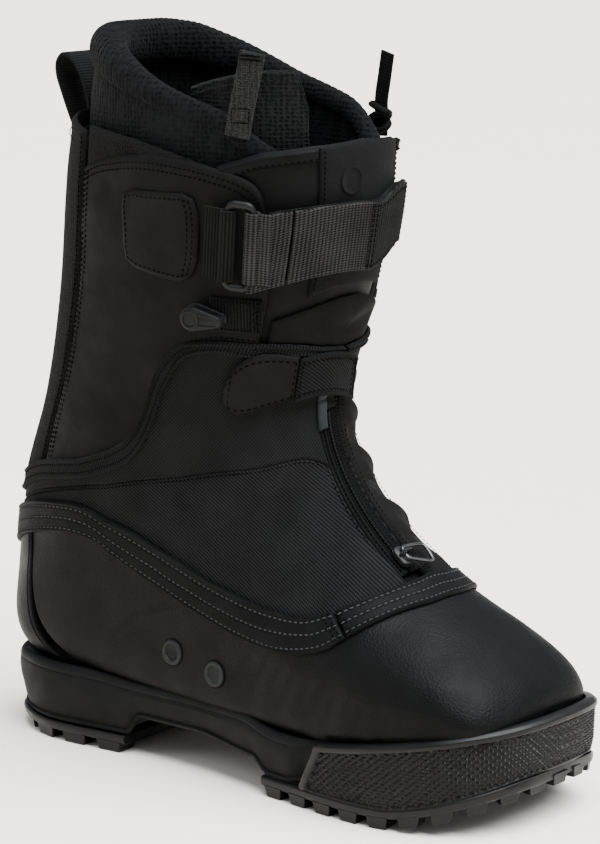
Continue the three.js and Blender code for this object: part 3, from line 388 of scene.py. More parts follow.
class Seam:
    """A smooth line over the surface through [station, degrees] points, run by its own length."""

    def __init__(self, points):
        self.line = spline(np.array(points, float) * [1, 1 / 12])
        self.length, _ = by_length(self.line)

    def __call__(self, t):
        k = np.interp(t, self.length, self.line[:, 0])
        return k, np.interp(t, self.length, self.line[:, 1]) * 12


def cut_seam(points, start, end):
    """The stretch of a seam between two angles."""
    k, a = np.array(points, float).T
    inside = [(x, y) for x, y in points if start + 1 < y < end - 1]
    return [(float(np.interp(start, a, k)), start), *inside, (float(np.interp(end, a, k)), end)]


def raised(points, stations):
    return [(k + stations, a) for k, a in points]


# ---- mesh making ----

def finish_mesh(obj, material, body="boot", slot=None, replaces=(), sharp=38, bevel=0.0):
    mesh = obj.data
    mesh.materials.append(M[material])
    mesh.polygons.foreach_set("use_smooth", [True] * len(mesh.polygons))
    mesh.set_sharp_from_angle(angle=math.radians(sharp))
    if bevel:
        modifier = obj.modifiers.new("edges", "BEVEL")
        modifier.width = bevel * MM
        modifier.segments = 3
        modifier.limit_method = "ANGLE"
        modifier.angle_limit = math.radians(35)
    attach(obj, body)
    if replaces:
        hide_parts(*replaces)
    return obj


def make(name, verts, faces, material, flat=None, **rest):
    """An object from points in the last's millimetres."""
    mesh = bpy.data.meshes.new(name)
    mesh.from_pydata(((np.asarray(verts) - ORIGIN) * MM).tolist(), [], [list(map(int, f)) for f in faces])
    if flat is not None:
        attribute = mesh.attributes.new("flat", "FLOAT_VECTOR", "POINT")
        attribute.data.foreach_set("vector", np.asarray(flat, np.float32).ravel())
    mesh.validate()
    mesh.update()
    obj = bpy.data.objects.new(name, mesh)
    bpy.context.scene.collection.objects.link(obj)
    return finish_mesh(obj, material, **rest)


def solid(name, node, look, part, cloth=False, **rest):
    """An object for one CAD node, from a (verts, faces) or (verts, faces, flat) part."""
    return make(name, part[0], part[1], look, flat=part[2] if cloth else None, replaces=(node,), **rest)


def panel(name, node, look, *shape, slot=None, body="boot", **edges):
    return solid(name, node, look, shell(*shape, **edges), cloth=True, slot=slot, body=body)


def sew(name, node, rows, look="thread", body="boot", **sizes):
    return solid(name, node, look, stitches(rows, **sizes), body=body)


def merge(parts):
    """Joins (verts, faces) or (verts, faces, flat) lists into one."""
    verts, faces, flats, base = [], [], [], 0
    for part in parts:
        verts.append(np.asarray(part[0], float))
        faces += [[i + base for i in face] for face in part[1]]
        flats.append(part[2] if len(part) > 2 else verts[-1][:, [0, 2, 1]])
        base += len(verts[-1])
    return np.vstack(verts), faces, np.vstack(flats)


def grid_faces(nu, nv, base=0, wrap=False, flip=False):
    faces = []
    for i in range(nu if wrap else nu - 1):
        for j in range(nv - 1):
            a, b = base + i * nv + j, base + ((i + 1) % nu) * nv + j
            quad = [a, b, b + 1, a + 1]
            faces.append(quad[::-1] if flip else quad)
    return faces


def spread(count, length, fine=1.8):
    """Places along a line from 0 to 1, closer together near its ends."""
    near = np.array([0, 0.12, 0.3, 0.6, 1.0, fine]) / max(length, 4 * fine)
    middle = np.linspace(near[-1], 1 - near[-1], count)
    return np.concatenate([near[:-1], middle, 1 - near[:-1][::-1]])


def thick_grid(outer, inner, flat, wrap=False):
    """A closed solid between two grids of points."""
    nu, nv = outer.shape[:2]
    n = nu * nv
    faces = grid_faces(nu, nv, 0, wrap) + grid_faces(nu, nv, n, wrap, True)
    for i in range(nu if wrap else nu - 1):
        a, b = i * nv, ((i + 1) % nu) * nv
        faces.append([b, a, a + n, b + n])
        faces.append([a + nv - 1, b + nv - 1, b + nv - 1 + n, a + nv - 1 + n])
    if not wrap:
        for j in range(nv - 1):
            faces.append([j, j + 1, j + 1 + n, j + n])
            e = (nu - 1) * nv + j
            faces.append([e + 1, e, e + n, e + 1 + n])
    verts = np.vstack([outer.reshape(-1, 3), inner.reshape(-1, 3)])
    return verts, faces, np.vstack([flat.reshape(-1, 3)] * 2)


def shell(where, nu, nv, top=0.0, base=-2.2, roll=0.9, width=1.8, rolled=(1, 1, 1, 1), wrap=False,
          lengths=(200, 60), push=None):
    """A thick panel: where(u, v) gives station and degrees, top its face; its borders roll down."""
    u = np.linspace(0, 1, nu, endpoint=False) if wrap else spread(nu, lengths[0])
    v = spread(nv, lengths[1])
    k, a = where(u[:, None], v[None, :])
    k, a = np.broadcast_arrays(k, a)
    p, n = point(k, a), normal(k, a)
    du, dv = np.zeros(p.shape[:2]), np.zeros(p.shape[:2])
    du[1:] = np.cumsum(np.linalg.norm(np.diff(p, axis=0), axis=2), axis=0)
    dv[:, 1:] = np.cumsum(np.linalg.norm(np.diff(p, axis=1), axis=2), axis=1)
    far = np.full(p.shape[:2], 1e3)
    borders = [du, du[-1:] - du, dv, dv[:, -1:] - dv]
    dist = np.minimum.reduce([b if on and not (wrap and i < 2) else far for i,
                              (b, on) in enumerate(zip(borders, rolled))])
    height = top(du, dv, dv[:, -1:] - dv, k, a) if callable(top) else np.full(p.shape[:2], float(top))
    height = height - roll * (1 - np.clip(dist / width, 0, 1)) ** 2
    if push is not None:
        height = height + push(k, a)
    low = base(k, a) if callable(base) else base
    flat = np.stack([np.broadcast_to(du.mean(1, keepdims=True), du.shape), dv, np.zeros_like(du)], -1)
    return thick_grid(p + n * height[..., None], p + n * np.broadcast_to(low, height.shape)[..., None],
                      flat, wrap)


def between_seams(lower, upper, mirror=False, side=1, crowd=1.0, bow=0.0):
    low, high = Seam(lower), Seam(upper)

    def where(u, v):
        t = np.abs(1 - 2 * u) if mirror else u
        (k0, a0), (k1, a1) = low(t), high(t)
        w = v ** crowd
        hand = np.where(u < 0.5, 1, -1) if mirror else side
        return k0 + (k1 - k0) * w, (a0 + (a1 - a0) * w + bow * t ** 4 * np.sin(np.pi * w)) * hand
    return where


def between_angles(start, end, low, high):
    def where(u, v):
        a = start + (end - start) * u
        k0, k1 = low(a), high(a)
        return k0 + (k1 - k0) * v, a + 0 * v
    return where


def ring_faces(rings, sides, closed=False):
    """The faces between rings of points, with a cap at each end unless the last meets the first."""
    faces = []
    for i in range(rings if closed else rings - 1):
        a, c = i * sides, ((i + 1) % rings) * sides
        faces += [[a + j, a + (j + 1) % sides, c + (j + 1) % sides, c + j] for j in range(sides)]
    if not closed:
        faces += [list(range(sides))[::-1], [(rings - 1) * sides + j for j in range(sides)]]
    return faces


def tube(path, radius, normals=None, sides=8, closed=False, flatten=1.0):
    """A round or flattened tube along points; normals, if given, point along its short axis."""
    p = np.asarray(path, float)
    t = unit(np.roll(p, -1, 0) - np.roll(p, 1, 0) if closed else np.gradient(p, axis=0))
    n = np.tile([0.0, 0.0, 1.0], (len(p), 1)) if normals is None else np.asarray(normals, float)
    n = unit(n - (n * t).sum(1, keepdims=True) * t)
    b = np.cross(t, n)
    r = np.broadcast_to(np.asarray(radius, float), (len(p),)).copy()
    if not closed:
        r[[0, -1]] *= 0.55
    angle = turn_angles(sides)
    ring = n[:, None] * np.sin(angle)[None, :, None] * flatten + b[:, None] * np.cos(angle)[None, :, None]
    return (p[:, None] + ring * r[:, None, None]).reshape(-1, 3), ring_faces(len(p), sides, closed)


def on_path(k, a, offset):
    return at(k, a, np.broadcast_to(offset, np.shape(k)).astype(float)), normal(k, a)


def resample(p, n, pitch, skip=0.0):
    d = distances(p)
    count = max(2, int(round((d[-1] - 2 * skip) / pitch)) + 1)
    s = np.linspace(skip, d[-1] - skip, count)
    pick = lambda q: np.stack([np.interp(s, d, q[:, i]) for i in range(3)], 1)
    q, m = pick(p), pick(n)
    t = np.gradient(q, axis=0)
    t = unit(t)
    return q, t, unit(m)


def stitches(rows, pitch=3.0, length=2.1, radius=0.36, skip=1.0):
    """Rows of threads, each a slim pill half sunk in the panel. A row is (station, degrees, offset)."""
    parts = []
    along = np.array([-0.5, -0.38, -0.15, 0.15, 0.38, 0.5])
    fat = np.array([0.25, 0.8, 1.0, 1.0, 0.8, 0.25])
    dip = np.array([-0.5, -0.15, 0, 0, -0.15, -0.5])
    angle = turn_angles(6)
    for k, a, offset in rows:
        q, t, n = resample(*on_path(k, a, offset), pitch, skip)
        b = np.cross(t, n)
        for c, tt, nn, bb in zip(q, t, n, b):
            ring = (np.cos(angle)[None, :, None] * bb + np.sin(angle)[None, :, None] * nn
                    * 0.8) * (fat * radius)[:, None, None]
            spine = c + along[:, None] * length * tt + dip[:, None] * radius * 1.2 * nn
            verts = (spine[:, None] + ring).reshape(-1, 3)
            parts.append((verts, ring_faces(6, 6)))
    return merge(parts)


def local_frame(k, degrees, offset, turn=0.0):
    """Axes at a point of the surface, as columns: round it, up the boot, and out; and that point."""
    k, degrees = float(k), float(degrees)
    out = normal(k, degrees)
    up = point(k + 0.05, degrees) - point(k - 0.05, degrees)
    up -= out * (up @ out)
    up /= np.linalg.norm(up)
    axes = np.stack([np.cross(up, out), up, out], 1)
    c, s = math.cos(turn), math.sin(turn)
    return axes @ np.array([[c, -s, 0], [s, c, 0], [0, 0, 1]]), point(k, degrees) + offset * out


def placed(verts, axes_origin):
    axes, origin = axes_origin
    return np.asarray(verts, float) @ axes.T + origin


def low_noise(p, size, seed=0):
    """Smooth noise, about -1 to 1, from a few seeded waves."""
    rng = np.random.default_rng(seed)
    total = np.zeros(p.shape[:-1])
    for _ in range(7):
        direction = rng.normal(size=3)
        direction /= np.linalg.norm(direction)
        total += np.sin((p @ direction) * 2 * np.pi / (size * rng.uniform(0.7, 1.5)) + rng.uniform(0, 6.28))
    return total / 3.2


def uneven(depth, size, seed):
    return lambda k, a: depth * low_noise(point(k, a), size, seed)


def seam_gap(points, amount):
    """Moves a seam square to itself, up the boot for a positive amount, in twentieths of a station."""
    out = []
    for i, (k, a) in enumerate(points):
        before, after = points[max(i - 1, 0)], points[min(i + 1, len(points) - 1)]
        dk, da = after[0] - before[0], (after[1] - before[1]) / 12
        size = math.hypot(dk, da)
        out.append((k + amount * da / size / 20, a - amount * 12 * dk / size / 20))
    return out


def row(where, inset, edge="high", start=0.0, end=1.0, steps=160, offset=0.0):
    """A line inside a panel, a set distance in mm from one of its borders, as stations and degrees."""
    t, fine = np.linspace(start, end, steps), np.linspace(0, 1, 80)
    if edge in ("high", "low"):
        k, a = np.broadcast_arrays(*where(t[:, None], fine[None, :]))
    else:
        k, a = np.broadcast_arrays(*where(fine[None, :], t[:, None]))
    steps_mm = np.linalg.norm(np.diff(point(k, a), axis=1), axis=2)
    d = np.concatenate([np.zeros((len(t), 1)), np.cumsum(steps_mm, 1)], 1)
    want = np.full(len(t), float(inset)) if edge in ("low", "start") else d[:, -1] - inset
    at_row = lambda q: np.array([np.interp(w, dd, qq) for w, dd, qq in zip(want, d, q)])
    return at_row(k), at_row(a), offset


def joined(*rows):
    """Rows run one after another as a single line."""
    return np.concatenate([r[0] for r in rows]), np.concatenate([r[1] for r in rows]), rows[0][2]


def patch_of(corners, side=1):
    """A four-cornered patch, corners in order along its foot and back along its head."""
    c = np.array(corners, float)

    def where(u, v):
        low = [c[0, i] + (c[1, i] - c[0, i]) * u for i in (0, 1)]
        high = [c[3, i] + (c[2, i] - c[3, i]) * u for i in (0, 1)]
        return low[0] + (high[0] - low[0]) * v, (low[1] + (high[1] - low[1]) * v) * side
    return where


def rounded(where, radius, size):
    """The same patch with its corners rounded: its rows and columns bend in towards the corners."""
    def bent(u, v):
        x, y = 2 * u - 1, 2 * v - 1
        rx, ry = radius / size[0] * 2, radius / size[1] * 2
        fold = 0.29 * np.clip((np.abs(x) - 1 + rx) / rx, 0, 1) * np.clip((np.abs(y) - 1 + ry) / ry, 0, 1)
        return where((x * (1 - fold * rx) + 1) / 2, (y * (1 - fold * ry) + 1) / 2)
    return bent


# ---- seams, as [station, degrees round the section] ----

BAND_TOP = [(4.15, 0), (4.15, 13), (4.35, 36), (4.62, 53), (5.03, 65), (5.62, 71.5), (6.26, 75), (7.13, 78),
            (7.93, 83), (8.77, 96), (9.24, 111), (9.6, 134), (9.68, 180)]
BAND_LOW = [(3.66, 0), (3.7, 15), (4.01, 42), (4.29, 61), (4.54, 73), (5.07, 83), (5.65, 86), (6.28, 86.5),
            (6.94, 87), (7.91, 91), (8.59, 103), (9.18, 131), (9.26, 180)]
WAIST = [(6.47, 17.5), (7.11, 43.5), (7.84, 60.5), (8.79, 84.5), (9.6, 124), (9.82, 180)]
RIB_TOP = [(8.74, 0), (8.9, 17.5), (9.6, 44), (10.25, 63), (10.38, 71), (10.17, 76), (9.64, 78), (9.42, 82),
           (9.54, 98), (9.98, 126), (10.1, 180)]
RIB_LOW = [(8.55, 0), (8.7, 17.5), (9.35, 44), (9.97, 60), (10.08, 68.5), (9.76, 72), (9.27, 75), (9.01, 80),
           (9.16, 92), (9.75, 127), (9.87, 180)]
RIB_MIDDLE = [((k + m) / 2, (a + b) / 2) for (k, a), (m, b) in zip(RIB_TOP, RIB_LOW)]
FEATHER = [(0.05, 2), (0.05, 70), (0.3, 100), (0.8, 120), (1.3, 134), (2, 141), (3, 143), (4, 144),
           (5, 144), (6, 144), (7, 146), (7.9, 151), (8.15, 164), (8.2, 180)]
SIDES = (("medial", 1), ("lateral", -1))
ZIP_CENTRE, ZIP_HALF, ZIP_LOW, ZIP_HIGH = 7, 6.5, 4.36, 7.3
STAY_EDGE = 124


# ---- sole ----

SOLE_OUTLINE = [(-166, 2), (-157, -28), (-126, -46), (-70, -46), (-20, -48), (35, -57), (85, -63),
                (128, -55), (151, -33), (158, 0), (153, 34), (130, 54), (80, 62), (20, 57), (-50, 48),
                (-124, 45), (-156, 30)]
RIM = spline(SOLE_OUTLINE, 40, True)
RIM_AT, RIM_LENGTH = by_length(RIM)
HEEL_X, BALL_X = -72, 22
LUG, TREAD = 4.5, 5
GUARD_X, GUARD_SLANT = 46, 0.019


def smooth(x, start, end):
    t = np.clip((np.asarray(x, float) - start) / (end - start), 0, 1)
    return t * t * (3 - 2 * t)


def sole_lift(x):
    return 17 * np.clip((x - 95) / 60, 0, 1.1) ** 1.5


def bumper_top(x):
    return 33 + 19 * np.clip((x - 50) / 105, 0, 1.1) ** 1.15


def midsole_top(x):
    back = 39.5 - 2 * smooth(x, -100, -60) + smooth(x, -160, -130) - 5 * smooth(x, 5, 32)
    return back + (bumper_top(x) - 33) * smooth(x, 30, 60) - 16 * smooth(x, 138, 154)


def midsole_foot(x):
    arch = (10 - 3.5 * smooth(x, -25, 14)) * smooth(x, HEEL_X, HEEL_X + 10) * (1 - smooth(x, 14, 25))
    return LUG + TREAD + sole_lift(x) + 0.4 + arch


def heel_in(x, amount):
    """How far the foot of the heel is drawn in at the back."""
    return amount * smooth(-np.asarray(x, float), 128, 160)


def rim(u, inset, z):
    """A point of the sole's edge; z is a height or a function of x."""
    u = np.mod(np.asarray(u, float), 1)
    at_u = lambda w: np.stack([np.interp(np.mod(w, 1), RIM_AT, RIM[:, i]) for i in (0, 1)], -1)
    p = at_u(u)
    t = at_u(u + 0.002) - at_u(u - 0.002)
    t = unit(t)
    height = z(p[..., 0]) if callable(z) else z
    inset = inset(p[..., 0]) if callable(inset) else inset
    inward = np.stack([-t[..., 1], t[..., 0]], -1)
    q = p + inward * np.asarray(inset, float)[..., None]
    return np.concatenate([q, np.broadcast_to(np.asarray(height, float), p[..., 0].shape)[..., None]], -1)


def rim_place(x, medial):
    side = (RIM[:, 1] < 0) == medial
    return float(RIM_AT[np.argmin(np.where(side, np.abs(RIM[:, 0] - x), 1e6))])


def stacked(rings):
    """Rings one above the other, closed by a cap at each end."""
    return np.vstack(rings), ring_faces(len(rings), len(rings[0]))


def make_midsole():
    u = np.linspace(0, 1, 420, endpoint=False)
    foot, top = midsole_foot, midsole_top
    share = lambda s, drop=0.0: lambda x: foot(x) + (top(x) - foot(x)) * s - drop
    # Each ring: how far in, its height, how far the heel is drawn in, and how far the guard's end is on.
    rings = [(4.6, foot, 2.6, 0), (2.4, lambda x: foot(x) + 0.7, 2.3, 0),
             (1.7, lambda x: foot(x) + 2.2, 1.9, 0), (2.9, lambda x: foot(x) + 3.0, 1.7, 0),
             (2.5, lambda x: foot(x) + 3.6, 1.5, 0), (1.2, share(0.4), 0.9, 1), (0.6, share(0.55), 0.5, 2),
             (0.5, share(0.66), 0.2, 3), (0.7, share(1, 6.6), 0, 4), (0.95, share(1, 5.3), 0, 4),
             (1.3, share(1, 4.8), 0, 5), (0.95, share(1, 4.3), 0, 5), (0.9, share(1, 3.4), 0, 6),
             (1.3, share(1, 2.0), 0, 6), (2.0, share(1, 1.0), 0, 7), (2.8, share(1, 0.4), 0, 7),
             (4.2, share(1, 0.3), 0, 7), (6, share(1, 1.0), 0, 7), (9, share(1, 5), 0, 7),
             (13, lambda x: 24 + sole_lift(x), 0, 7), (18, lambda x: 21.5 + sole_lift(x), 0, 7)]
    # Behind the toe guard the wall stands further in, and only its rim shows.
    edge = lambda inset, back, on: lambda x: inset + heel_in(x, back) + 5 * smooth(x - on, GUARD_X - 8,
                                                                                   GUARD_X + 2)
    solid("midsole_wall", "midsole", "foam",
          stacked([rim(u, edge(inset, back, on), z) for inset, z, back, on in rings]), slot="midsole_foam",
          sharp=60)


def block(corners_low, corners_high):
    verts = np.vstack([corners_low, corners_high])
    return verts, [[3, 2, 1, 0], [4, 5, 6, 7], [0, 1, 5, 4], [1, 2, 6, 5], [2, 3, 7, 6], [3, 0, 4, 7]]


def lug_row(start, end, count, outer, inner, fill=0.7):
    parts = []
    step = (end - start) / count
    for i in range(count):
        u0, u1 = start + step * (i + 0.5 - fill / 2), start + step * (i + 0.5 + fill / 2)
        places = np.array([u0, u1, u1, u0])
        deep = inner - (2.5 if i % 2 else 0)
        edges = np.array([outer, outer, deep, deep])
        x = rim(places, 0, 0)[:, 0]
        near = np.array([1, 1, 0, 0])
        low = rim(places + np.array([1, -1, -1, 1]) * 0.0018, edges + [0.9, 0.9, -1, -1]
                  + heel_in(x, 5.5) * near, sole_lift)
        high = rim(places, edges + heel_in(x, 3) * near, lambda x: sole_lift(x) + LUG + 1.2)
        parts.append(block(low, high))
    return parts


def chevron(x, half, depth, tip):
    shape = np.array([(-half, 0), (0, tip), (half, 0), (half, -depth), (0, tip - depth), (-half, -depth)],
                     float)
    rings = []
    for z, shrink in ((0, 0.05), (LUG + 1.2, 0)):
        px = x + shape[:, 1] * (1 - shrink)
        rings.append(np.stack([px, shape[:, 0] * (1 - shrink), z + sole_lift(px)], 1))
    return stacked(rings)


def tread_plate(low_x, high_x):
    """The flat plate the lugs stand on, between two places along the sole."""
    x = np.linspace(low_x, high_x, 60)
    wide = []
    for medial in (True, False):
        side = (RIM[:, 1] < 0) == medial
        px, py = RIM[side, 0], RIM[side, 1]
        order = np.argsort(px)
        wide.append(np.interp(x, px[order], py[order]))
    cut_in = lambda y, inset: np.sign(y) * np.maximum(np.abs(y) - inset, 0.6)
    outline = lambda inset: np.vstack([np.stack([x, cut_in(wide[0], inset)], 1),
                                       np.stack([x, cut_in(wide[1], inset)], 1)[::-1]])
    rings = []
    for inset, lift, back in ((4.2, LUG, 4.5), (2.2, LUG + 0.6, 3.4), (1.5, LUG + 2, 2.6),
                              (1.4, LUG + TREAD - 0.8, 1.6), (2.4, LUG + TREAD + 0.2, 1.6)):
        o = outline(inset)
        o[:, 0] += heel_in(o[:, 0], back)
        rings.append(np.concatenate([o, (lift + sole_lift(o[:, 0]))[:, None]], 1))
    return stacked(rings)


def make_outsoles():
    heel_u = (rim_place(HEEL_X, False), 1 + rim_place(HEEL_X, True))
    ball_u = (rim_place(BALL_X, True), rim_place(BALL_X, False))
    heel = [tread_plate(-163.5, HEEL_X), *lug_row(*heel_u, 11, 1.8, 15)]
    heel += [chevron(x, half, 9, 5) for x, half in ((-92, 22), (-112, 22), (-132, 17))]
    solid("heel_outsole", "outsole_heel", "rubber", merge(heel), slot="outsole_rubber", sharp=30, bevel=0.7)
    fore = [tread_plate(BALL_X, 155.5), *lug_row(*ball_u, 21, 1.6, 16)]
    fore += [chevron(x, half, 9, 6) for x, half in ((38, 33), (56, 34), (74, 35), (92, 34), (110, 30))]
    solid("forefoot_outsole", "outsole_forefoot", "rubber", merge(fore), slot="outsole_rubber", sharp=30,
          bevel=0.7)


def make_bumper():
    """The toe guard: rows of little pyramids inside a smooth raised frame, its ends slanted."""
    start, end = rim_place(GUARD_X, True), rim_place(GUARD_X, False)
    nu, nv, pitch = 660, 60, 4.1
    t = np.linspace(0, 1, nu)[:, None]
    v = np.linspace(0, 1, nv)[None, :]
    slant = GUARD_SLANT * v
    u = start + slant + (end - start - 2 * slant) * t
    x = rim(u, 0, 0)[..., 0]
    low, high = LUG + TREAD - 1.5 + sole_lift(x), bumper_top(x)
    z = low + (high - low) * v
    face = np.interp(v, [0, 0.12, 0.3, 0.85, 0.95, 1], [2.6, 1.2, 0.3, -0.2, -0.1, 1.0]) + 0 * t
    along = (u - start) * RIM_LENGTH
    tall = high - low
    from_top, from_foot = (1 - v) * tall, v * tall
    from_end = np.minimum(along - slant * RIM_LENGTH, (end - u) * RIM_LENGTH - slant * RIM_LENGTH)
    saw = lambda q: 1 - np.abs(2 * np.mod(q / pitch, 1) - 1)
    knurl = np.minimum(saw(along + 1.25 * z), saw(along - 1.25 * z)) * 1.8
    inside = smooth(from_top, 3.6, 4.6) * smooth(from_foot, 1.6, 2.8) * smooth(from_end, 4.2, 5.2)
    frame = 0.5 * smooth(from_top, 0.2, 1.4) * (1 - smooth(from_top, 3.2, 4.2))
    frame = np.maximum(frame, 0.5 * smooth(from_end, 0.2, 1.5) * (1 - smooth(from_end, 3.6, 4.8)))
    inset = face + inside * (1.7 - knurl) - frame * (1 - inside)
    outer = rim(u, inset, 0)
    outer[..., 2] = z
    inner = rim(u, 4.7 + 0 * u, 0)
    inner[..., 2] = z
    flat = np.stack([along, z, 0 * z], -1)
    solid("toe_bumper", "outsole_forefoot", "rubber", thick_grid(outer, inner, flat), cloth=True,
          slot="outsole_rubber", sharp=70)


# ---- lower ----

COUNTER_TOP, COUNTER_FOOT, COUNTER_BOW = 129, 145.3, -11


def creases(k, a):
    """Soft folds over the flex line on each side, and the gentle unevenness of formed leather."""
    side = from_front(a)
    here = smooth(side, 72, 92) * (1 - smooth(side, 118, 138)) * smooth(k, 3.0,
                                                                        3.6) * (1 - smooth(k, 5.0, 5.8))
    folds = np.sin(k * 17 + side * 0.03) * 0.32 + np.sin(k * 29 - side * 0.06 + 1) * 0.16
    p = point(k, a)
    x, z = p[..., 0], p[..., 2]
    tuck = -0.7 * smooth(bumper_top(x) + 4 - z, 0, 5) * smooth(x, 50, 70)
    return here * folds + tuck + heel_fill(p) + 0.16 * low_noise(p, 42, 5) + 0.05 * low_noise(p, 14, 6)


def heel_fill(p):
    """The formed heel stands out over the sole's edge, low down and towards the back."""
    x, z = p[..., 0], p[..., 2]
    return 1.3 * smooth(-x, 30, 90) * (1 - smooth(-x, 135, 155)) * (1 - smooth(z, 44, 72)) * smooth(z, 33,
                                                                                                    39)


def emboss(k, a):
    """A faint raised arc in the side panel, over the heel."""
    side = from_front(a)
    place = np.interp(side, [88, 92.5, 105, 117, 130, 142], [6.5, 6.68, 6.9, 6.98, 6.9, 6.8])
    ridge = 0.5 * np.exp(-((k - place) * 30 / 1.3) ** 2)
    return ridge * smooth(side, 88, 94) * (1 - smooth(side, 130, 140))


def make_lower():
    where = between_seams(cut_seam(FEATHER, 2, COUNTER_FOOT),
                          raised(cut_seam(BAND_LOW, 0, COUNTER_TOP), 0.2), mirror=True, crowd=1.4,
                          bow=COUNTER_BOW)
    panel("lower_leather", "lower_shell", "toe_leather", where, 380, 70, 0, -2.2, lengths=(700, 110),
          push=lambda k, a: creases(k, a) + emboss(k, a), slot="leather")

    back = between_seams(cut_seam(FEATHER, COUNTER_FOOT + 0.6, 180)[::-1],
                         raised(cut_seam(BAND_LOW, COUNTER_TOP + 0.4, 180)[::-1], 0.2), mirror=True,
                         bow=COUNTER_BOW)

    def swell(k, a):
        p = point(k, a)
        return heel_fill(p) + 0.12 * low_noise(p, 45, 8)
    panel("heel_counter_leather", "heel_counter", "toe_leather", back, 130, 60, 0.35, -2.2, roll=1.2,
          width=2.2, lengths=(150, 110), push=swell, slot="leather")
    parts = []
    for edge in ("start", "end"):
        for inset, size in ((0.5, 1.0), (3.4, 0.75)):
            k, a, _ = row(back, inset, edge, 0.02, 0.97, offset=0)
            p, n = on_path(k, a, 0.15 + heel_fill(point(k, a)))
            parts.append(tube(p, size, n, 10, flatten=0.8))
    solid("counter_welts", "heel_counter", "band_leather", merge(parts), sharp=60)


def band_top(du, dv, from_top, k, a):
    """Padded between its three rows of stitching, with a corded upper edge."""
    wide = dv + from_top
    v = dv / np.maximum(wide, 0.1)
    rows = np.stack([np.abs(v - c) * wide for c in (0.13, 0.48, 0.82)])
    groove = -0.5 * np.exp(-(rows.min(0) / 0.75) ** 2)
    cord = 0.55 * bell(from_top - 0.9, 0.7) + 0.35 * bell(dv - 0.8, 0.7)
    return 2.5 + groove + cord + 0.08 * low_noise(point(k, a), 18, 9)


def make_band():
    join_at = 53
    flank = cut_seam(BAND_LOW, join_at + 7, 179.4), cut_seam(BAND_TOP, join_at + 0.8, 179.4)
    toe = cut_seam(BAND_LOW, 0, join_at + 6), cut_seam(BAND_TOP, 0, join_at - 0.4)
    for name, seams, mirror, side, nu, length in (("band_medial", flank, False, 1, 300, 330),
                                                  ("band_lateral", flank, False, -1, 300, 330),
                                                  ("band_toe", toe, True, 1, 260, 210)):
        node = "rand_" + name
        where = between_seams(*seams, mirror=mirror, side=side)
        panel(name, node, "band_leather", where, nu, 30, band_top, 0.6, roll=1.3, width=1.5,
              lengths=(length, 16), slot="leather")
        t = np.linspace(0.004, 0.996, 420)
        lines = [(*where(t, np.full(t.shape, share)), 2.35) for share in (0.13, 0.48, 0.82)]
        for tag, chosen, colour in (("light", lines[1:], "thread_light"), ("low", lines[:1], "thread_mid")):
            sew(name + "_stitches_" + tag, node, chosen, look=colour, pitch=3.1, length=2.0, radius=0.42)
        v = np.linspace(0.06, 0.94, 30)
        ends = [(*where(np.full(v.shape, u), v), 2.4) for u in ((0.02, 0.98) if mirror else (0.012, 0.026))]
        sew(name + "_bar_stitches", node, ends, pitch=2.6, length=1.8, radius=0.4, skip=0.4)


def make_vents():
    for name, side in SIDES:
        for i, (k, a) in enumerate(((6.3, 112), (5.74, 113.5))):
            where = local_frame(k, a * side, 0.4)
            angle = turn_angles(40)
            section = [(6.3, -0.6), (6.3, 0.1), (6.1, 0.55), (5.6, 0.95), (5.1, 1.0), (4.6, 0.85),
                       (4.2, 0.4), (3.9, -0.3), (0.1, -0.35)]
            verts, faces = stacked([hoop(r, z, angle) for r, z in section])
            # A rounded mesh of small holes fills the middle.
            holes = []
            for gx in range(-3, 4):
                for gy in range(-3, 4):
                    c = np.array([gx * 1.15 + (gy % 2) * 0.57, gy * 1.0])
                    if np.hypot(*c) < 3.4:
                        ring = hoop(0.42, -0.15, angle[::5], *c)
                        holes.append(stacked([ring + [0, 0, -0.25], ring]))
            v2, f2, _ = merge([(verts, faces), *holes])
            make("vent_ring_%s_%d" % (name, i + 1), placed(v2, where), f2, "grey_plastic", slot="plastic",
                 replaces=("vent_%s_%d" % (name, i + 1),), sharp=45)
            gap = tube(placed(hoop(6.5, -0.15, angle), where), 0.4, None, 6, closed=True)
            solid("vent_shadow_%s_%d" % (name, i + 1), "vent_%s_%d" % (name, i + 1), "black", gap)


# ---- quarters ----

def cloth_swell(k, a):
    p = point(k, a)
    return 0.35 * low_noise(p, 55, 12) + 0.1 * low_noise(p, 20, 13)


def bias(verts, side):
    """Cloth laid straight over the boot's side and round to its front: mm forwards and upwards."""
    return np.stack([verts[:, 0] + 0.8 * side * verts[:, 1], verts[:, 2], 0 * verts[:, 0]], 1)


def make_quarter(name, node, look, where, nv, side):
    verts, faces, _ = shell(where, 220, nv, 0, -2.2, roll=0.9, width=1.4, lengths=(330, 60),
                            push=cloth_swell)
    make(name, verts, faces, look, flat=bias(verts, side), slot="textile", replaces=(node,))


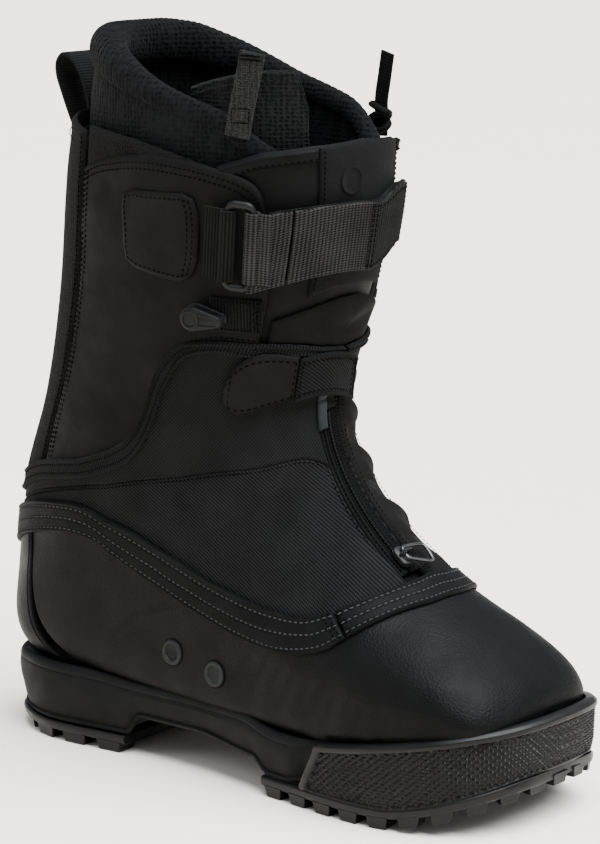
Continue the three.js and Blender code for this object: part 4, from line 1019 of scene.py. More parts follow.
def make_quarters():
    for name, side in SIDES:
        lower, upper = "quarter_lower_" + name, "quarter_upper_" + name
        ending = "" if side > 0 else "_lateral"
        front = ZIP_HALF + 0.8 + ZIP_CENTRE * side
        waist = [(6.3, front), *cut_seam(WAIST, max(front, 18) + 6, 179)]
        below = [(3.98, front), *raised(cut_seam(BAND_TOP, front + 8, 179), -0.2)]
        where = between_seams(below, seam_gap(waist, -0.05), side=side)
        make_quarter("lower_quarter_" + name, lower, "twill_down" + ending, where, 70, side)
        lines = [row(where, 1.6, "high", 0.01, 0.9, offset=0.25),
                 row(where, 2.2, "start", 0.04, 0.97, offset=0.1)]
        sew("lower_quarter_stitches_" + name, lower, lines, pitch=2.2, length=1.5, radius=0.33)

        edge = cut_seam(RIB_MIDDLE, max(front, 0.01), 179)
        where = between_seams(seam_gap(waist, 0.05), seam_gap(edge, -0.6), side=side)
        make_quarter("upper_quarter_" + name, upper, "twill_up" + ending, where, 60, side)

        make_rib_band(name, side)
        make_shaft_quarter(name, side)


def rib_top(du, dv, from_top, k, a):
    """Two piped edges with a shallow channel between them."""
    low = bell(dv - 1.1, 0.8)
    high = bell(from_top - 1.1, 0.8)
    return 1.7 + 0.9 * np.maximum(low, high)


def make_rib_band(name, side):
    clamp = lambda seam: [(k, min(max(a, 0.6), 179.4)) for k, a in seam]
    where = between_seams(clamp(RIB_LOW), clamp(RIB_TOP), side=side)
    panel("rib_trim_" + name, "rib_band_" + name, "rib_cloth", where, 320, 26, rib_top, 0.6, roll=1.0,
          width=1.1, lengths=(330, 9), slot="textile")
    t = np.linspace(0.01, 0.99, 400)
    lines = [(*where(t, np.full(t.shape, share)), 1.75) for share in (0.3, 0.7)]
    sew("rib_stitches_" + name, "rib_band_" + name, lines, pitch=2.0, length=1.3, radius=0.32)


QUARTER_TOP = [(43.5, 236), (47, 270), (51, 288), (66, 297), (89, 301), (110, 298), (124, 292)]


def shaft_edges(side):
    edge = seam_gap(cut_seam(RIB_MIDDLE, 44, STAY_EDGE - 0.8), 0.6)
    top = [(float(station_at(h, a * side)), min(a, STAY_EDGE - 0.8)) for a, h in QUARTER_TOP]
    return edge, top


def leather_swell(k, a):
    p = point(k, a)
    return 0.3 * low_noise(p, 60, 20) + 0.14 * low_noise(p, 24, 21) + 0.05 * low_noise(p, 9, 22)


def make_shaft_quarter(name, side):
    where = between_seams(*shaft_edges(side), side=side)
    panel("shaft_leather_" + name, "shaft_quarter_" + name, "shaft_leather", where, 200, 90, 0.1, -2.2,
          roll=1.5, width=2.6, lengths=(150, 110), push=leather_swell, slot="leather")
    lines = [row(where, d, "high", 0.05, 0.995, offset=0.3) for d in (3.6, 6.6)]
    lines += [row(where, d, "end", 0.02, 0.97, offset=0.3) for d in (3.2, 6.0)]
    lines += [row(where, 3.5, "low", 0.02, 0.98, offset=0.3)]
    sew("shaft_stitches_" + name, "shaft_quarter_" + name, lines, pitch=2.6, length=1.7, radius=0.33)


def make_back():
    top = profile([(0, 300), (86, 302), (124, 309), (150, 315), (180, 316)])
    rib = np.array(RIB_MIDDLE)
    rib_at = lambda a: np.interp(from_front(a), rib[:, 1], rib[:, 0])
    where = between_angles(STAY_EDGE, 360 - STAY_EDGE, lambda a: rib_at(a) + 0.04, up_to(top))

    def puff(du, dv, from_top, k, a):
        middle = 1 - ((du - du[-1:] / 2) / np.maximum(du[-1:] / 2, 1)) ** 2
        return 0.2 + 1.6 * middle * smooth(from_top, 0, 30) + 0.5 * bell(from_top - 3, 2.2)
    obj = panel("back_mesh", "back_stay", "collar_mesh", where, 90, 120, puff, -2.2, roll=1.8, width=3.5,
                rolled=(1, 1, 0, 1), lengths=(80, 180), slot="collar_mesh")
    lines = [row(where, 7.5, "high", 0.08, 0.92, offset=1.1)] + [row(where, 2.0, e, 0.02, 0.98, offset=0.35)
                                                                 for e in ("start", "end")]
    sew("back_mesh_stitches", "back_stay", lines, pitch=2.4, length=1.6, radius=0.34)


# ---- zipped cover ----

def strip(start, end, low, high):
    return lambda u, v: (low + (high - low) * v, start + (end - start) * u + 0 * v)


def make_zip():
    for name, start, end in (("medial", ZIP_CENTRE + 0.85, ZIP_CENTRE + ZIP_HALF + 0.9),
                             ("lateral", ZIP_CENTRE - ZIP_HALF - 0.9, ZIP_CENTRE - 0.85)):
        where = strip(start, end, ZIP_LOW - 0.05, ZIP_HIGH + 0.05)

        def ridges(du, dv, from_top, k, a):
            wide = du[-1:] if hasattr(du, "shape") else 1
            share = du / np.maximum(wide, 0.1)
            across = share if name == "medial" else 1 - share
            cords = bell(across - 0.2, 0.09) + 0.9 * bell(across - 0.52,
                                                          0.09) + 0.7 * bell(across - 0.9, 0.07)
            return -0.5 + 0.95 * cords
        panel("zip_tape_detail_" + name, "zip_tape_" + name, "tape", where, 26, 150, ridges, -1.7, roll=0.3,
              width=0.6, lengths=(9, 130), slot="textile")
    # Moulded coils meet in the middle, each turn leaning across.
    parts = []
    for i in range(86):
        k = ZIP_LOW + (ZIP_HIGH - ZIP_LOW) * (i + 0.5) / 86
        hand = 1 if i % 2 else -1
        a = ZIP_CENTRE + np.array([-0.75, -0.2, 0.25, 0.55]) * hand
        p, n = on_path(k + np.array([0, 0.004, 0.004, 0]), a, np.array([-0.7, 0.1, 0.1, -0.5]))
        parts.append(tube(p, 0.42, n, 6))
    solid("zip_coil", "zip_teeth", "plastic", merge(parts), slot="plastic", sharp=60)
    lines = [(np.linspace(ZIP_LOW, ZIP_HIGH, 200), np.full(200, ZIP_CENTRE + s * 4.9), 0.15)
             for s in (1, -1)]
    sew("zip_stitches", "zip_tape_medial", lines, pitch=2.3, length=1.5, radius=0.3)


def slider_frame():
    return local_frame(4.52, ZIP_CENTRE, 0.9)


def box_part(size, centre):
    x, y, z = (s / 2 for s in size)
    corners = np.array([(-x, -y), (x, -y), (x, y), (-x, y)])
    low = np.concatenate([corners, np.full((4, 1), -z)], 1) + centre
    return block(low, low + [0, 0, 2 * z])


def make_slider():
    angle = turn_angles(32)
    cos, sin = np.cos(angle), np.sin(angle)
    full = lambda q: np.sign(q) * np.abs(q) ** 0.6
    half = lambda w, l, z: np.stack([full(cos) * w * (1 - 0.16 * sin), full(sin) * l, np.full(32, z)], 1)
    body = stacked([half(*size) for size in ((3.4, 5.2, -0.1), (3.8, 5.5, 0.4), (3.8, 5.5, 1.0),
                                             (2.9, 4.8, 1.25), (2.9, 4.8, 1.75), (3.8, 5.5, 2.0),
                                             (3.7, 5.4, 2.6), (3.2, 4.9, 3.0))])
    arch = np.array([(-2.8, 0, 2.8), (-2.8, 0, 5.2), (-2.3, 0, 6.3), (-1.2, 0, 6.8), (1.2, 0, 6.8),
                     (2.3, 0, 6.3), (2.8, 0, 5.2), (2.8, 0, 2.8)])
    bridge = tube(spline(arch, 5), 0.75, None, 8)
    verts, faces, flat = merge([body, bridge])
    make("zip_slider_body", placed(verts, slider_frame()), faces, "metal", body="zip_slider",
         slot="dark_metal", replaces=("zip_slider",), sharp=40)

    axes, origin = slider_frame()
    pivot = origin + axes @ np.array([0, 0, 4.5])
    euler = np.array(Matrix.Rotation(0.1, 3, "Y") @ Matrix.Rotation(-math.pi / 2 - 0.25, 3, "Z"))
    wire = np.array([(-3, 0, 0), (3, 0, 0), (3.6, 1, 0), (5.2, 13.5, 0), (4.2, 14.8, 0), (-4.2, 14.8, 0),
                     (-5.2, 13.5, 0), (-3.6, 1, 0)], float)
    wire[:, 1] -= 0.2
    path = spline(wire, 14, True)[:-1] @ euler.T @ axes.T + pivot
    solid("zip_pull_wire", "zip_pull", "bright_metal",
          tube(path, 0.78, np.tile(axes[:, 2], (len(path), 1)), 10, closed=True), body="zip_pull",
          slot="dark_metal", sharp=60)


def make_garage():
    where = patch_of([(7.0, 9.8), (7.0, 15.4), (7.8, 15.0), (7.8, 9.8)])

    def slots(du, dv, from_top, k, a):
        v = dv / np.maximum(dv + from_top, 0.1)
        return 2.3 - 1.1 * bell(v - 0.8, 0.05)
    panel("zip_garage_tab", "zip_garage", "garage", where, 16, 50, slots, 0.4, roll=0.9, width=1.0,
          lengths=(6, 14), slot="textile")
    where = strip(ZIP_CENTRE - ZIP_HALF, ZIP_CENTRE + ZIP_HALF, ZIP_HIGH + 0.06, 8.5)

    def folds(du, dv, from_top, k, a):
        return 0.1 + 0.6 * np.sin(dv * 0.9) * np.exp(-dv / 30)
    panel("zip_gusset_cloth", "zip_gusset", "twill_up", where, 24, 60, folds, -2.2, lengths=(10, 60),
          slot="textile")


def make_throat_panel():
    """Suede beside the zip, gathered in soft waves where the ankle bends."""
    low = [(4.05, -1.4), (4.3, -1.6), (5.2, -1.4), (6.2, -1.4), (7.2, -1.4), (8.3, -1.6)]
    high = [(4.1, -26), (4.4, -30), (5.2, -31), (6.2, -31), (7.2, -33), (8.3, -38)]
    where = between_seams(low, high)

    def waves(k, a):
        fold = 1.7 * np.sin(k * 6.4 + a * 0.05) + 0.6 * np.sin(k * 12.5 - a * 0.12)
        return smooth(k, 4.3, 5.0) * (1 - smooth(k, 7.9, 8.3)) * fold * smooth(-a, 2, 12)
    panel("throat_suede", "quarter_lower_lateral", "suede", where, 150, 50, 1.3, 0.2, roll=1.0, width=1.6,
          lengths=(150, 60), push=waves, slot="leather")
    lines = [row(where, 2.0, e, 0.02, 0.98, offset=1.35) for e in ("low", "high")]
    sew("throat_stitches", "quarter_lower_lateral", lines, pitch=2.4, length=1.6, radius=0.32)


def make_shroud():
    """The cover folds over on itself in front of the ankle."""
    rib = np.array(RIB_MIDDLE)
    rib_at = lambda a: np.interp(np.abs(a), rib[:, 1], rib[:, 0])
    where = between_angles(-41, 41, lambda a: rib_at(a) + 0.04, lambda a: station_at(234 - a * a * 0.006, a))

    def folds(k, a):
        v = k - rib_at(a)
        wave = 1.1 * np.sin(v * 11 + a * 0.05) * bell(a - 4, 26)
        return wave * smooth(v, 0.05, 0.4) + 0.3 * low_noise(point(k, a), 18, 30)
    panel("shroud_cloth", "shroud", "suede", where, 110, 70, 0.0, -2.2, roll=1.6, width=2.5,
          lengths=(80, 50), push=folds, slot="textile")


ANKLE_LOW = [(-9, 7.53), (-2, 7.62), (28, 7.97), (36, 8.1), (44, 8.42), (52, 9)]
ANKLE_HIGH = [(-9, 8.5), (-2, 8.62), (28, 8.89), (40, 9.3), (46, 9.38), (52, 9.2)]


def along(pairs, reach=4.0):
    """A smooth function through pairs."""
    x, y = np.array(pairs, float).T
    fine = np.linspace(x[0], x[-1], 200)
    raw = np.interp(fine, x, y)
    size = 1 + 2 * int(reach / (fine[1] - fine[0]))
    kernel = np.hanning(size + 2)[1:-1]
    kernel /= kernel.sum()
    pad = np.concatenate([2 * raw[0] - raw[1:size // 2 + 1][::-1], raw,
                          2 * raw[-1] - raw[-size // 2:-1][::-1]])
    soft = np.convolve(pad, kernel, "valid")[:200]
    return lambda a: np.interp(a, fine, soft)


def make_ankle():
    low, high = along(ANKLE_LOW), along(ANKLE_HIGH)
    where = between_angles(-9, 27.6, low, high)
    panel("ankle_cloth", "ankle_band", "twill_up", where, 90, 50, 4.2, 2.4, roll=0.9, width=1.4,
          lengths=(60, 30), slot="textile")
    parts = []
    for edge in ("high", "low", "start"):
        k, a, _ = row(where, 0.7, edge, 0, 1)
        p, n = on_path(k, a, 4.1)
        parts.append(tube(p, 0.85, n, 8))
    solid("ankle_piping", "ankle_band", "rib_cloth", merge(parts), sharp=60)
    lines = [row(where, 3.0, e, 0.02, 0.98, offset=4.25) for e in ("high", "low", "start")]
    lines += [row(where, 1.2, "end", 0.04, 0.96, offset=4.25)]
    sew("ankle_stitches", "ankle_band", lines, pitch=2.4, length=1.6, radius=0.34)

    # The tab's free end is a half oval.
    first, last = 28.2, 53
    onward = lambda edge: lambda a: edge(np.minimum(a, 36)) + (edge(36)
                                                               - edge(28)) / 8 * (np.maximum(a, 36) - 36)
    tab_low, tab_high = onward(low), onward(high)

    def tab(u, v):
        a = first + (last - first) * u
        middle, half = (tab_low(a) + tab_high(a)) / 2 + 0.04, (tab_high(a) - tab_low(a)) / 2
        close = np.sqrt(np.clip(1 - np.clip((a - 40) / (last - 40 + 0.01), 0, 1) ** 2.2, 0.0006, 1))
        return middle + half * close * (2 * v - 1), a + 0 * v
    panel("ankle_tab_leather", "ankle_tab", "tab_leather", tab, 80, 50,
          lambda du, dv, from_top, k, a: 4.35 + 0.25 * smooth(np.minimum(dv, from_top), 2.0, 6), 2.6,
          roll=1.5, width=2.2, lengths=(55, 34), push=uneven(0.12, 20, 40),
          body="ankle_tab", slot="leather")
    t = np.linspace(0.06, 0.93, 120)
    inset_v = 3.4 / 34
    around = [(t, np.full(120, 1 - inset_v)), (np.full(60, 0.93), np.linspace(1 - inset_v, inset_v, 60)),
              (t[::-1], np.full(120, inset_v)), (np.full(60, 0.06), np.linspace(inset_v, 1 - inset_v, 60))]
    rows = [(*tab(u, v), 4.5) for u, v in around]
    sew("ankle_tab_stitches", "ankle_tab", [joined(*rows[:3]), rows[3]], pitch=3.3, length=2.1, radius=0.42,
        body="ankle_tab")


# ---- strap ----

STRAP_EDGES = [(0, 10.36, 11.93), (25, 10.5, 12.02), (49, 10.74, 12.17), (68, 11.25, 12.66),
               (98, 12.04, 13.1)]


def lateral_rise(a):
    return 0.3 * smooth(-a, 2, 20) * (1 - smooth(-a, 34, 62))


def strap_edge(column):
    sides, stations = [e[0] for e in STRAP_EDGES], [e[column] for e in STRAP_EDGES]
    return lambda a: np.interp(np.abs(a), sides, stations) + lateral_rise(a)


strap_low, strap_high = strap_edge(1), strap_edge(2)


def weave(level, size=2.1, depth=0.28, rise=None):
    """Thick crossing yarns between two firm edges."""
    def top(du, dv, from_top, k, a):
        checks = np.sin(2 * np.pi * du / size) * np.sin(2 * np.pi * dv / (size * 0.95))
        edge = np.minimum(dv, from_top)
        inside = smooth(edge, 1.2, 2.2)
        lift = rise(a) if rise is not None else 0
        return level + lift + depth * checks * inside + 0.25 * (1 - smooth(edge, 0.9,
                                                                           1.8)) * (1
                                                                                    + 0.35
                                                                                    * np.sin(2 * np.pi * du
                                                                                             / 1.3))
    return top


def make_strap():
    where = between_angles(-66, 47, strap_low, strap_high)
    panel("strap_under", "strap_inner", "webbing_dark", where, 300, 60, weave(2.1), 0.7, roll=0.5,
          width=0.8, lengths=(210, 36), slot="webbing")

    rise = lambda a: 2 * np.clip((a - 26) / 12, 0, 1)
    where = between_angles(4.0, 38.8, strap_low, strap_high)
    panel("strap_webbing", "strap_outer", "webbing", where, 235, 128, weave(4.9, 1.35, 0.24, rise),
          lambda k, a: 3.1 + rise(a), roll=0.5, width=0.8, lengths=(75, 36), body="strap_flap",
          slot="webbing")

    where = between_angles(39.5, 50.5, strap_low, strap_high)
    lift = lambda a: 2 + 0.6 * smooth(a, 39, 47)
    panel("strap_lead", "strap_fold", "webbing", where, 90, 170, weave(4.9, 1.35, 0.24, lift),
          lambda k, a: 5.0 + 0 * a, roll=0.3, width=0.6, lengths=(22, 36), body="strap_ring",
          slot="webbing")

    low = lambda a: strap_low(a) + 0.16 * smooth(-a, 10, 24)
    where = between_angles(-24.4, 4.6, low, strap_high)
    panel("strap_tip", "strap_end", "strap_tip", where, 210, 150, weave(4.85, 1.35, 0.14), 3.0, roll=0.8,
          width=1.2, lengths=(60, 36), push=uneven(0.15, 22, 50),
          body="strap_flap", slot="textile")
    lines = [row(where, d, e, 0.03, 0.97, offset=5.05) for e,
             d in (("high", 2.4), ("low", 2.4), ("start", 2.4), ("end", 2.2), ("end", 5.0))]
    sew("strap_tip_stitches", "strap_end", lines, pitch=2.5, length=1.7, radius=0.34, body="strap_flap")


RING_K, RING_A, RING_LEVEL = 11.7, 55, 5.4
RING_W, RING_H, RING_BAR = 15, 43, 3.2
BAR_X = RING_W / 2 - RING_BAR / 2


def ring_frame():
    return local_frame(RING_K, RING_A, RING_LEVEL, 0.08)


def make_ring():
    w, h, r = RING_W / 2 - 1.55, RING_H / 2 - 1.55, 3.6
    path = []
    for i, (cx, cy) in enumerate(((w - r, h - r), (r - w, h - r), (r - w, r - h), (w - r, r - h))):
        t = np.linspace(i * np.pi / 2, (i + 1) * np.pi / 2, 12)
        path.append(np.stack([cx + r * np.cos(t), cy + r * np.sin(t), 0 * t], 1))
    path = np.vstack(path)
    dense = [path[0]]
    for a, b in zip(path, np.roll(path, -1, 0)):
        n = max(1, int(np.linalg.norm(b - a) / 1.5))
        dense += [a + (b - a) * (j + 1) / n for j in range(n)]
    dense = np.array(dense[:-1])
    radius = 1.6 + 0.25 * smooth(np.abs(dense[:, 1]), h - 3, h)
    axes, origin = ring_frame()
    solid("strap_ring_wire", "strap_ring", "ring_metal",
          tube(placed(dense, (axes, origin)), radius, np.tile(axes[:, 2], (len(dense), 1)), 14, closed=True,
               flatten=0.95), body="strap_ring", slot="dark_metal", sharp=60)


def folded_web(bar_x, tail, drop, height=34, thick=1.25):
    """Webbing round an upright bar and back out to one side, in the ring's frame."""
    hand = 1 if tail > 0 else -1
    t = np.linspace(-0.92, 0.92, 22) * np.pi
    r = 3.05
    curve = np.stack([-hand * r * np.cos(t), r * np.sin(t)], 1)
    out = np.linspace(0.15, 1, 12)[:, None]
    reach = np.array([hand * abs(tail) + hand * 2.35, drop])
    start = curve[0] if drop < 0 else curve[-1]
    leg = start + (reach - start) * out
    path = np.vstack([leg[::-1], curve]) if drop < 0 else np.vstack([curve, leg])
    tangent = np.gradient(path, axis=0)
    tangent = unit(tangent)
    square = np.stack([-tangent[:, 1], tangent[:, 0]], 1)
    d = distances(path)
    fine = np.linspace(0, d[-1], 120)
    at_fine = lambda q: np.stack([np.interp(fine, d, q[:, i]) for i in (0, 1)], 1)
    p, n = at_fine(path), at_fine(square)
    y = np.linspace(-height / 2, height / 2, 70)
    ribs = 0.12 * np.sin(2 * np.pi * fine / 1.5)[:, None] * smooth(height / 2 - np.abs(y), 0.8, 1.6)[None, :]

    def face(level, texture):
        q = p[:, None] + n[:, None] * (level + texture)[..., None]
        grid = np.empty((len(fine), len(y), 3))
        grid[..., 0], grid[..., 1], grid[..., 2] = q[..., 0] + bar_x, y[None, :], q[..., 1]
        return grid
    outer = face(np.full((120, 70), -thick / 2), -ribs)
    inner = face(np.full((120, 70), thick / 2), 0 * ribs)
    flat = np.stack(np.broadcast_arrays(fine[:, None], y[None, :], 0.0), -1)
    return thick_grid(outer, inner, flat)


def make_webbing_folds():
    for name, node, look, body, turn in (("chape_webbing", "strap_chape", "rib_webbing", "boot",
                                          (-BAR_X, -9, -2.4)),
                                         ("fold_webbing", "strap_fold", "webbing", "strap_ring",
                                          (BAR_X, 7, 1.4))):
        verts, faces, flat = folded_web(*turn)
        solid(name, node, look, (placed(verts, ring_frame()), faces, flat), cloth=True, body=body,
              slot="webbing", sharp=70)


ANCHOR = [(12.04, 98.5), (11.32, 68.5), (12.78, 70.5), (13.05, 101)]


def make_anchors():
    for name, side in SIDES:
        where = rounded(patch_of(ANCHOR, side), 9, (52, 38))
        panel("anchor_leather_" + name, "strap_anchor_" + name, "tab_leather", where, 80, 60, 2.3, 0.5,
              roll=1.3, width=2.2, lengths=(52, 38),
              push=uneven(0.14, 26, 60), slot="leather")
        lines = [row(where, 2.8, e, 0.05, 0.95, offset=2.35) for e in ("low", "high", "start")]
        lines += [row(where, d, "end", 0.05, 0.95, offset=2.35) for d in (2.8, 5.6)]
        sew("anchor_stitches_" + name, "strap_anchor_" + name, lines, pitch=2.8, length=1.9, radius=0.38)


# ---- lace hooks ----

HOOK_TAB = [(10.35, 60), (9.76, 43.8), (10.43, 45.5), (10.98, 62.5)]


def hook_parts():
    """A teardrop plate with a raised round end, a throat and a lip, along +X to its post."""
    def teardrop(scale, z, notch=0.0):
        t = np.linspace(np.pi * 0.42, np.pi * 1.58, 26)
        left = np.stack([-4.5 + 6 * np.cos(t), 6 * np.sin(t)], 1)
        right = np.array([(8.2, -2.8), (9.6, -2.2), (10.4, -1.0), (10.5, 0.6), (10.1, 2.0), (9.0, 2.8)])
        outline = np.vstack([left, right])
        centre = np.array([1.0, 0.0])
        outline = centre + (outline - centre) * scale
        return np.concatenate([outline, np.full((len(outline), 1), z)], 1)
    base = stacked([teardrop(0.95, 0), teardrop(1, 0.35), teardrop(1, 1.6), teardrop(0.94, 2.0)])
    lip = stacked([teardrop(0.9, 5.9), teardrop(0.97, 6.3), teardrop(0.97, 7.6), teardrop(0.9, 8.2),
                   teardrop(0.8, 8.4)])
    angle = turn_angles(30)
    ring = tube(hoop(3.9, 8.2, angle, -5), 0.85, None, 8, closed=True)
    spine = tube(spline([(-2.4, 2.4, 8.3), (2, 2.6, 8.4), (6, 2.4, 8.3), (9, 1.6, 8.1)], 8), 0.7, None, 8)
    spine2 = tube(spline([(-2.4, -2.4, 8.3), (3, -2.4, 8.4), (8.2, -1.8, 8.2)], 8), 0.6, None, 8)
    post = box_part((3.2, 4.6, 7.2), (8.3, 0, 4.2))
    return merge([base, lip, ring, spine, spine2, post])


def make_hooks():
    for name, side in SIDES:
        where = patch_of(HOOK_TAB, side)
        panel("hook_webbing_" + name, "hook_tab_" + name, "rib_webbing", where, 60, 46,
              lambda du, dv, from_top, k, a: 2.1 + 0.12 * np.sin(2 * np.pi * du / 1.4), 0.6, roll=0.6,
              width=0.9, lengths=(30, 14), slot="webbing")
        lines = [row(where, d, e, 0.06, 0.94, offset=2.2) for e,
                 d in (("end", 1.5), ("end", 5.5), ("low", 1.4), ("high", 1.4))]
        t = np.linspace(0, 1, 40)
        zig = np.abs(2 * np.mod(t * 4, 1) - 1)
        k, a = where(0.82 + 0.12 * zig, 0.1 + 0.8 * t)
        sew("hook_tab_stitches_" + name, "hook_tab_" + name, [*lines, (k, a, 2.25)], pitch=1.9, length=1.4,
            radius=0.34, skip=0.4)
        turn = 0.16 * side + (math.pi if side < 0 else 0)
        verts, faces, flat = hook_parts()
        make("lace_hook_" + name, placed(verts, local_frame(10.66, 62 * side, 3.1, turn)), faces,
             "hook_plastic", body="speed_hook_" + name, slot="plastic", replaces=("speed_hook_" + name,),
             sharp=40)


# ---- tongue ----

TONGUE_TOP = profile([(0, 309), (30, 307), (50, 304), (66, 297), (180, 297)])


def make_tongue():
    where = between_angles(-66, 66, fixed(8.85), up_to(TONGUE_TOP))

    def soft(k, a):
        return 0.45 * low_noise(point(k, a), 50, 70) + 0.15 * low_noise(point(k, a), 17, 71)
    panel("tongue_leather_shell", "tongue", "tongue_leather", where, 200, 120, -4.0, -6.6, roll=1.2,
          width=2.0, lengths=(190, 120), push=soft, slot="leather")

    where = between_angles(-26, 28, lambda a: station_at(240, 0) + 0 * a, up_to(TONGUE_TOP, 0.6))
    panel("tongue_centre_panel", "tongue_panel", "panel_cloth", where, 90, 90, -1.5, -3.2, roll=0.9,
          width=1.4, lengths=(60, 60), push=uneven(0.3, 40, 72),
          slot="textile")
    lines = [row(where, 2.2, e, 0.03, 0.97, offset=-1.35) for e in ("start", "end")]
    sew("tongue_panel_stitches", "tongue_panel", lines, pitch=2.4, length=1.6, radius=0.33)

    def piped(du, dv, from_top, k, a):
        return -1.5 + 0.7 * bell(from_top - 1.3, 1.0) + 0.3 * bell(dv - 0.9, 0.7)
    bands, rows = [], []
    for start, end in ((28.4, 64.5), (-64.5, -26.4)):
        where = between_angles(start, end, up_to(TONGUE_TOP, 7), up_to(TONGUE_TOP, 0.3))
        bands.append(shell(where, 120, 26, piped, -3.0, roll=1.2, width=1.4, lengths=(60, 7)))
        rows.append(row(where, 5.4, "high", 0.01, 0.99, offset=-1.3))
    solid("tongue_edge_binding", "tongue_binding", "band_leather", merge(bands), cloth=True, slot="leather")
    sew("tongue_edge_stitches", "tongue_binding", rows, pitch=2.9, length=1.9, radius=0.42)

    # A plain round badge: a slim raised ring with a shallow dish.
    angle = turn_angles(48)
    rings = [hoop(r, z, angle) for r, z in ((6.9, -1.2), (6.9, -0.9), (6.7, -0.65), (6.2, -0.6),
                                            (5.8, -0.75), (5.6, -0.95), (3.0, -0.9), (1.0, -0.88))]
    verts, faces = stacked(rings)
    make("round_badge", placed(verts, local_frame(12.46, 12, -0.5)), faces, "panel_cloth", slot="plastic",
         replaces=("tongue_badge",), sharp=50)


# ---- linings and inner boot ----

AROUND = [0, 26, 50, 70, 86, 98, 108, 117, 125, 131, 137, 144, 154, 166, 180]
FOOT_STATIONS = [0.9, 1.6, 2.4, 3.3, 4.2, 5.1, 6, 6.9, 7.6, 8.2, 8.65]


def around(u):
    share = np.where(u > 0.5, 1 - u, u) * 2 * (len(AROUND) - 1)
    a = np.interp(share, range(len(AROUND)), AROUND)
    return np.where(u > 0.5, 360 - a, a)


def foot_tube(first=0):
    rows = len(FOOT_STATIONS) - 1 - first
    return lambda u, v: (np.interp(v * rows, range(rows + 1), FOOT_STATIONS[first:]) + 0 * u,
                         around(u) + 0 * v)


LINER_TOP = profile([(0, 298), (40, 300), (52, 309), (63, 321), (75, 326), (92, 333), (106, 341),
                     (118, 348), (138, 357), (156, 359.5), (172, 359.5), (180, 359.5)])


def soft_profile(pairs_function, reach=9):
    """The same function of degrees, smoothed over a few degrees."""
    fine = np.arange(-40, 401, 1.0)
    kernel = np.hanning(2 * reach + 3)[1:-1]
    smooth_values = np.convolve(pairs_function(np.mod(fine, 360)), kernel / kernel.sum(), "same")
    return lambda a: np.interp(np.mod(a, 360), fine, smooth_values)


def make_linings():
    panel("foot_lining", "lining_foot", "liner_knit", foot_tube(), 90, 40, -4.5, -6.6, wrap=True,
          rolled=(0, 0, 0, 0), slot="liner_fabric")
    top = profile([(0, 290), (60, 293), (90, 298), (124, 305), (180, 311)])
    where = between_angles(69, 291, fixed(8.75), up_to(top))
    panel("shaft_lining", "lining_shaft", "liner_knit", where, 110, 50, -4.5, -6.6, lengths=(250, 130),
          slot="liner_fabric")
    panel("liner_foot_shell", "liner_foot", "liner_knit", foot_tube(1), 90, 36, -7.8, -14, wrap=True,
          rolled=(0, 0, 0, 0), slot="liner_fabric")
    for name, node, layer, first, last, edge in (("board_sheet", "lasting_board", (-3.2, -1), 1, 7, 12),
                                                 ("footbed_pad", "footbed", (-18, -15.6), 2, 7, 11)):
        stations = FOOT_STATIONS[first:last + 1]
        angles = AROUND[edge:] + [360 - a for a in AROUND[edge:-1][::-1]]
        where = lambda u, v: (np.interp(u, np.linspace(0, 1, len(stations)), stations) + 0 * v,
                              np.interp(v, np.linspace(0, 1, len(angles)), angles) + 0 * u)
        panel(name, node, "board", where, 60, 30, layer[1], layer[0], roll=0.4, width=2, lengths=(200, 60),
              slot="board_foam")


def make_collar_facing():
    """The padded mesh facing that shows above the shaft's panels on both sides."""
    top = profile([(0, 297), (68, 297), (84, 303), (100, 308), (124, 312), (180, 312)])
    for name, side in SIDES:
        where = between_angles(68 * side, STAY_EDGE * side, up_to(286), up_to(top))
        verts, faces, flat = shell(where, 90, 40, -1.4, -4.4, roll=2.2, width=4.5, lengths=(75, 24),
                                   push=uneven(0.25, 16, 90))
        if side < 0:
            faces = [face[::-1] for face in faces]
        make("collar_facing_" + name, verts, faces, "collar_mesh", flat=flat, slot="liner_fabric",
             replaces=("lining_shaft",))


def make_liner():
    top = soft_profile(LINER_TOP)
    where = between_angles(0, 360, fixed(8.72), up_to(top, 8))

    def quilt(du, dv, from_top, k, a):
        return -7.9 + 0.25 * np.sin(a * 0.42) * np.sin(dv * 0.26)
    inner = lambda k, a: -14 - 0.9 * np.abs(np.sin(np.radians(a) * 26)) ** 3 * smooth(k, 10, 12.5)
    obj = panel("liner_cuff_padding", "liner_cuff", "liner_knit", where, 420, 70, quilt, inner, wrap=True,
                rolled=(0, 0, 0, 0), lengths=(300, 200), slot="liner_fabric")
    make_liner_roll(top)
    make_liner_flap()


ROLL_CENTRE, ROLL_THICK, ROLL_HIGH = -11.3, 3.9, 6.5


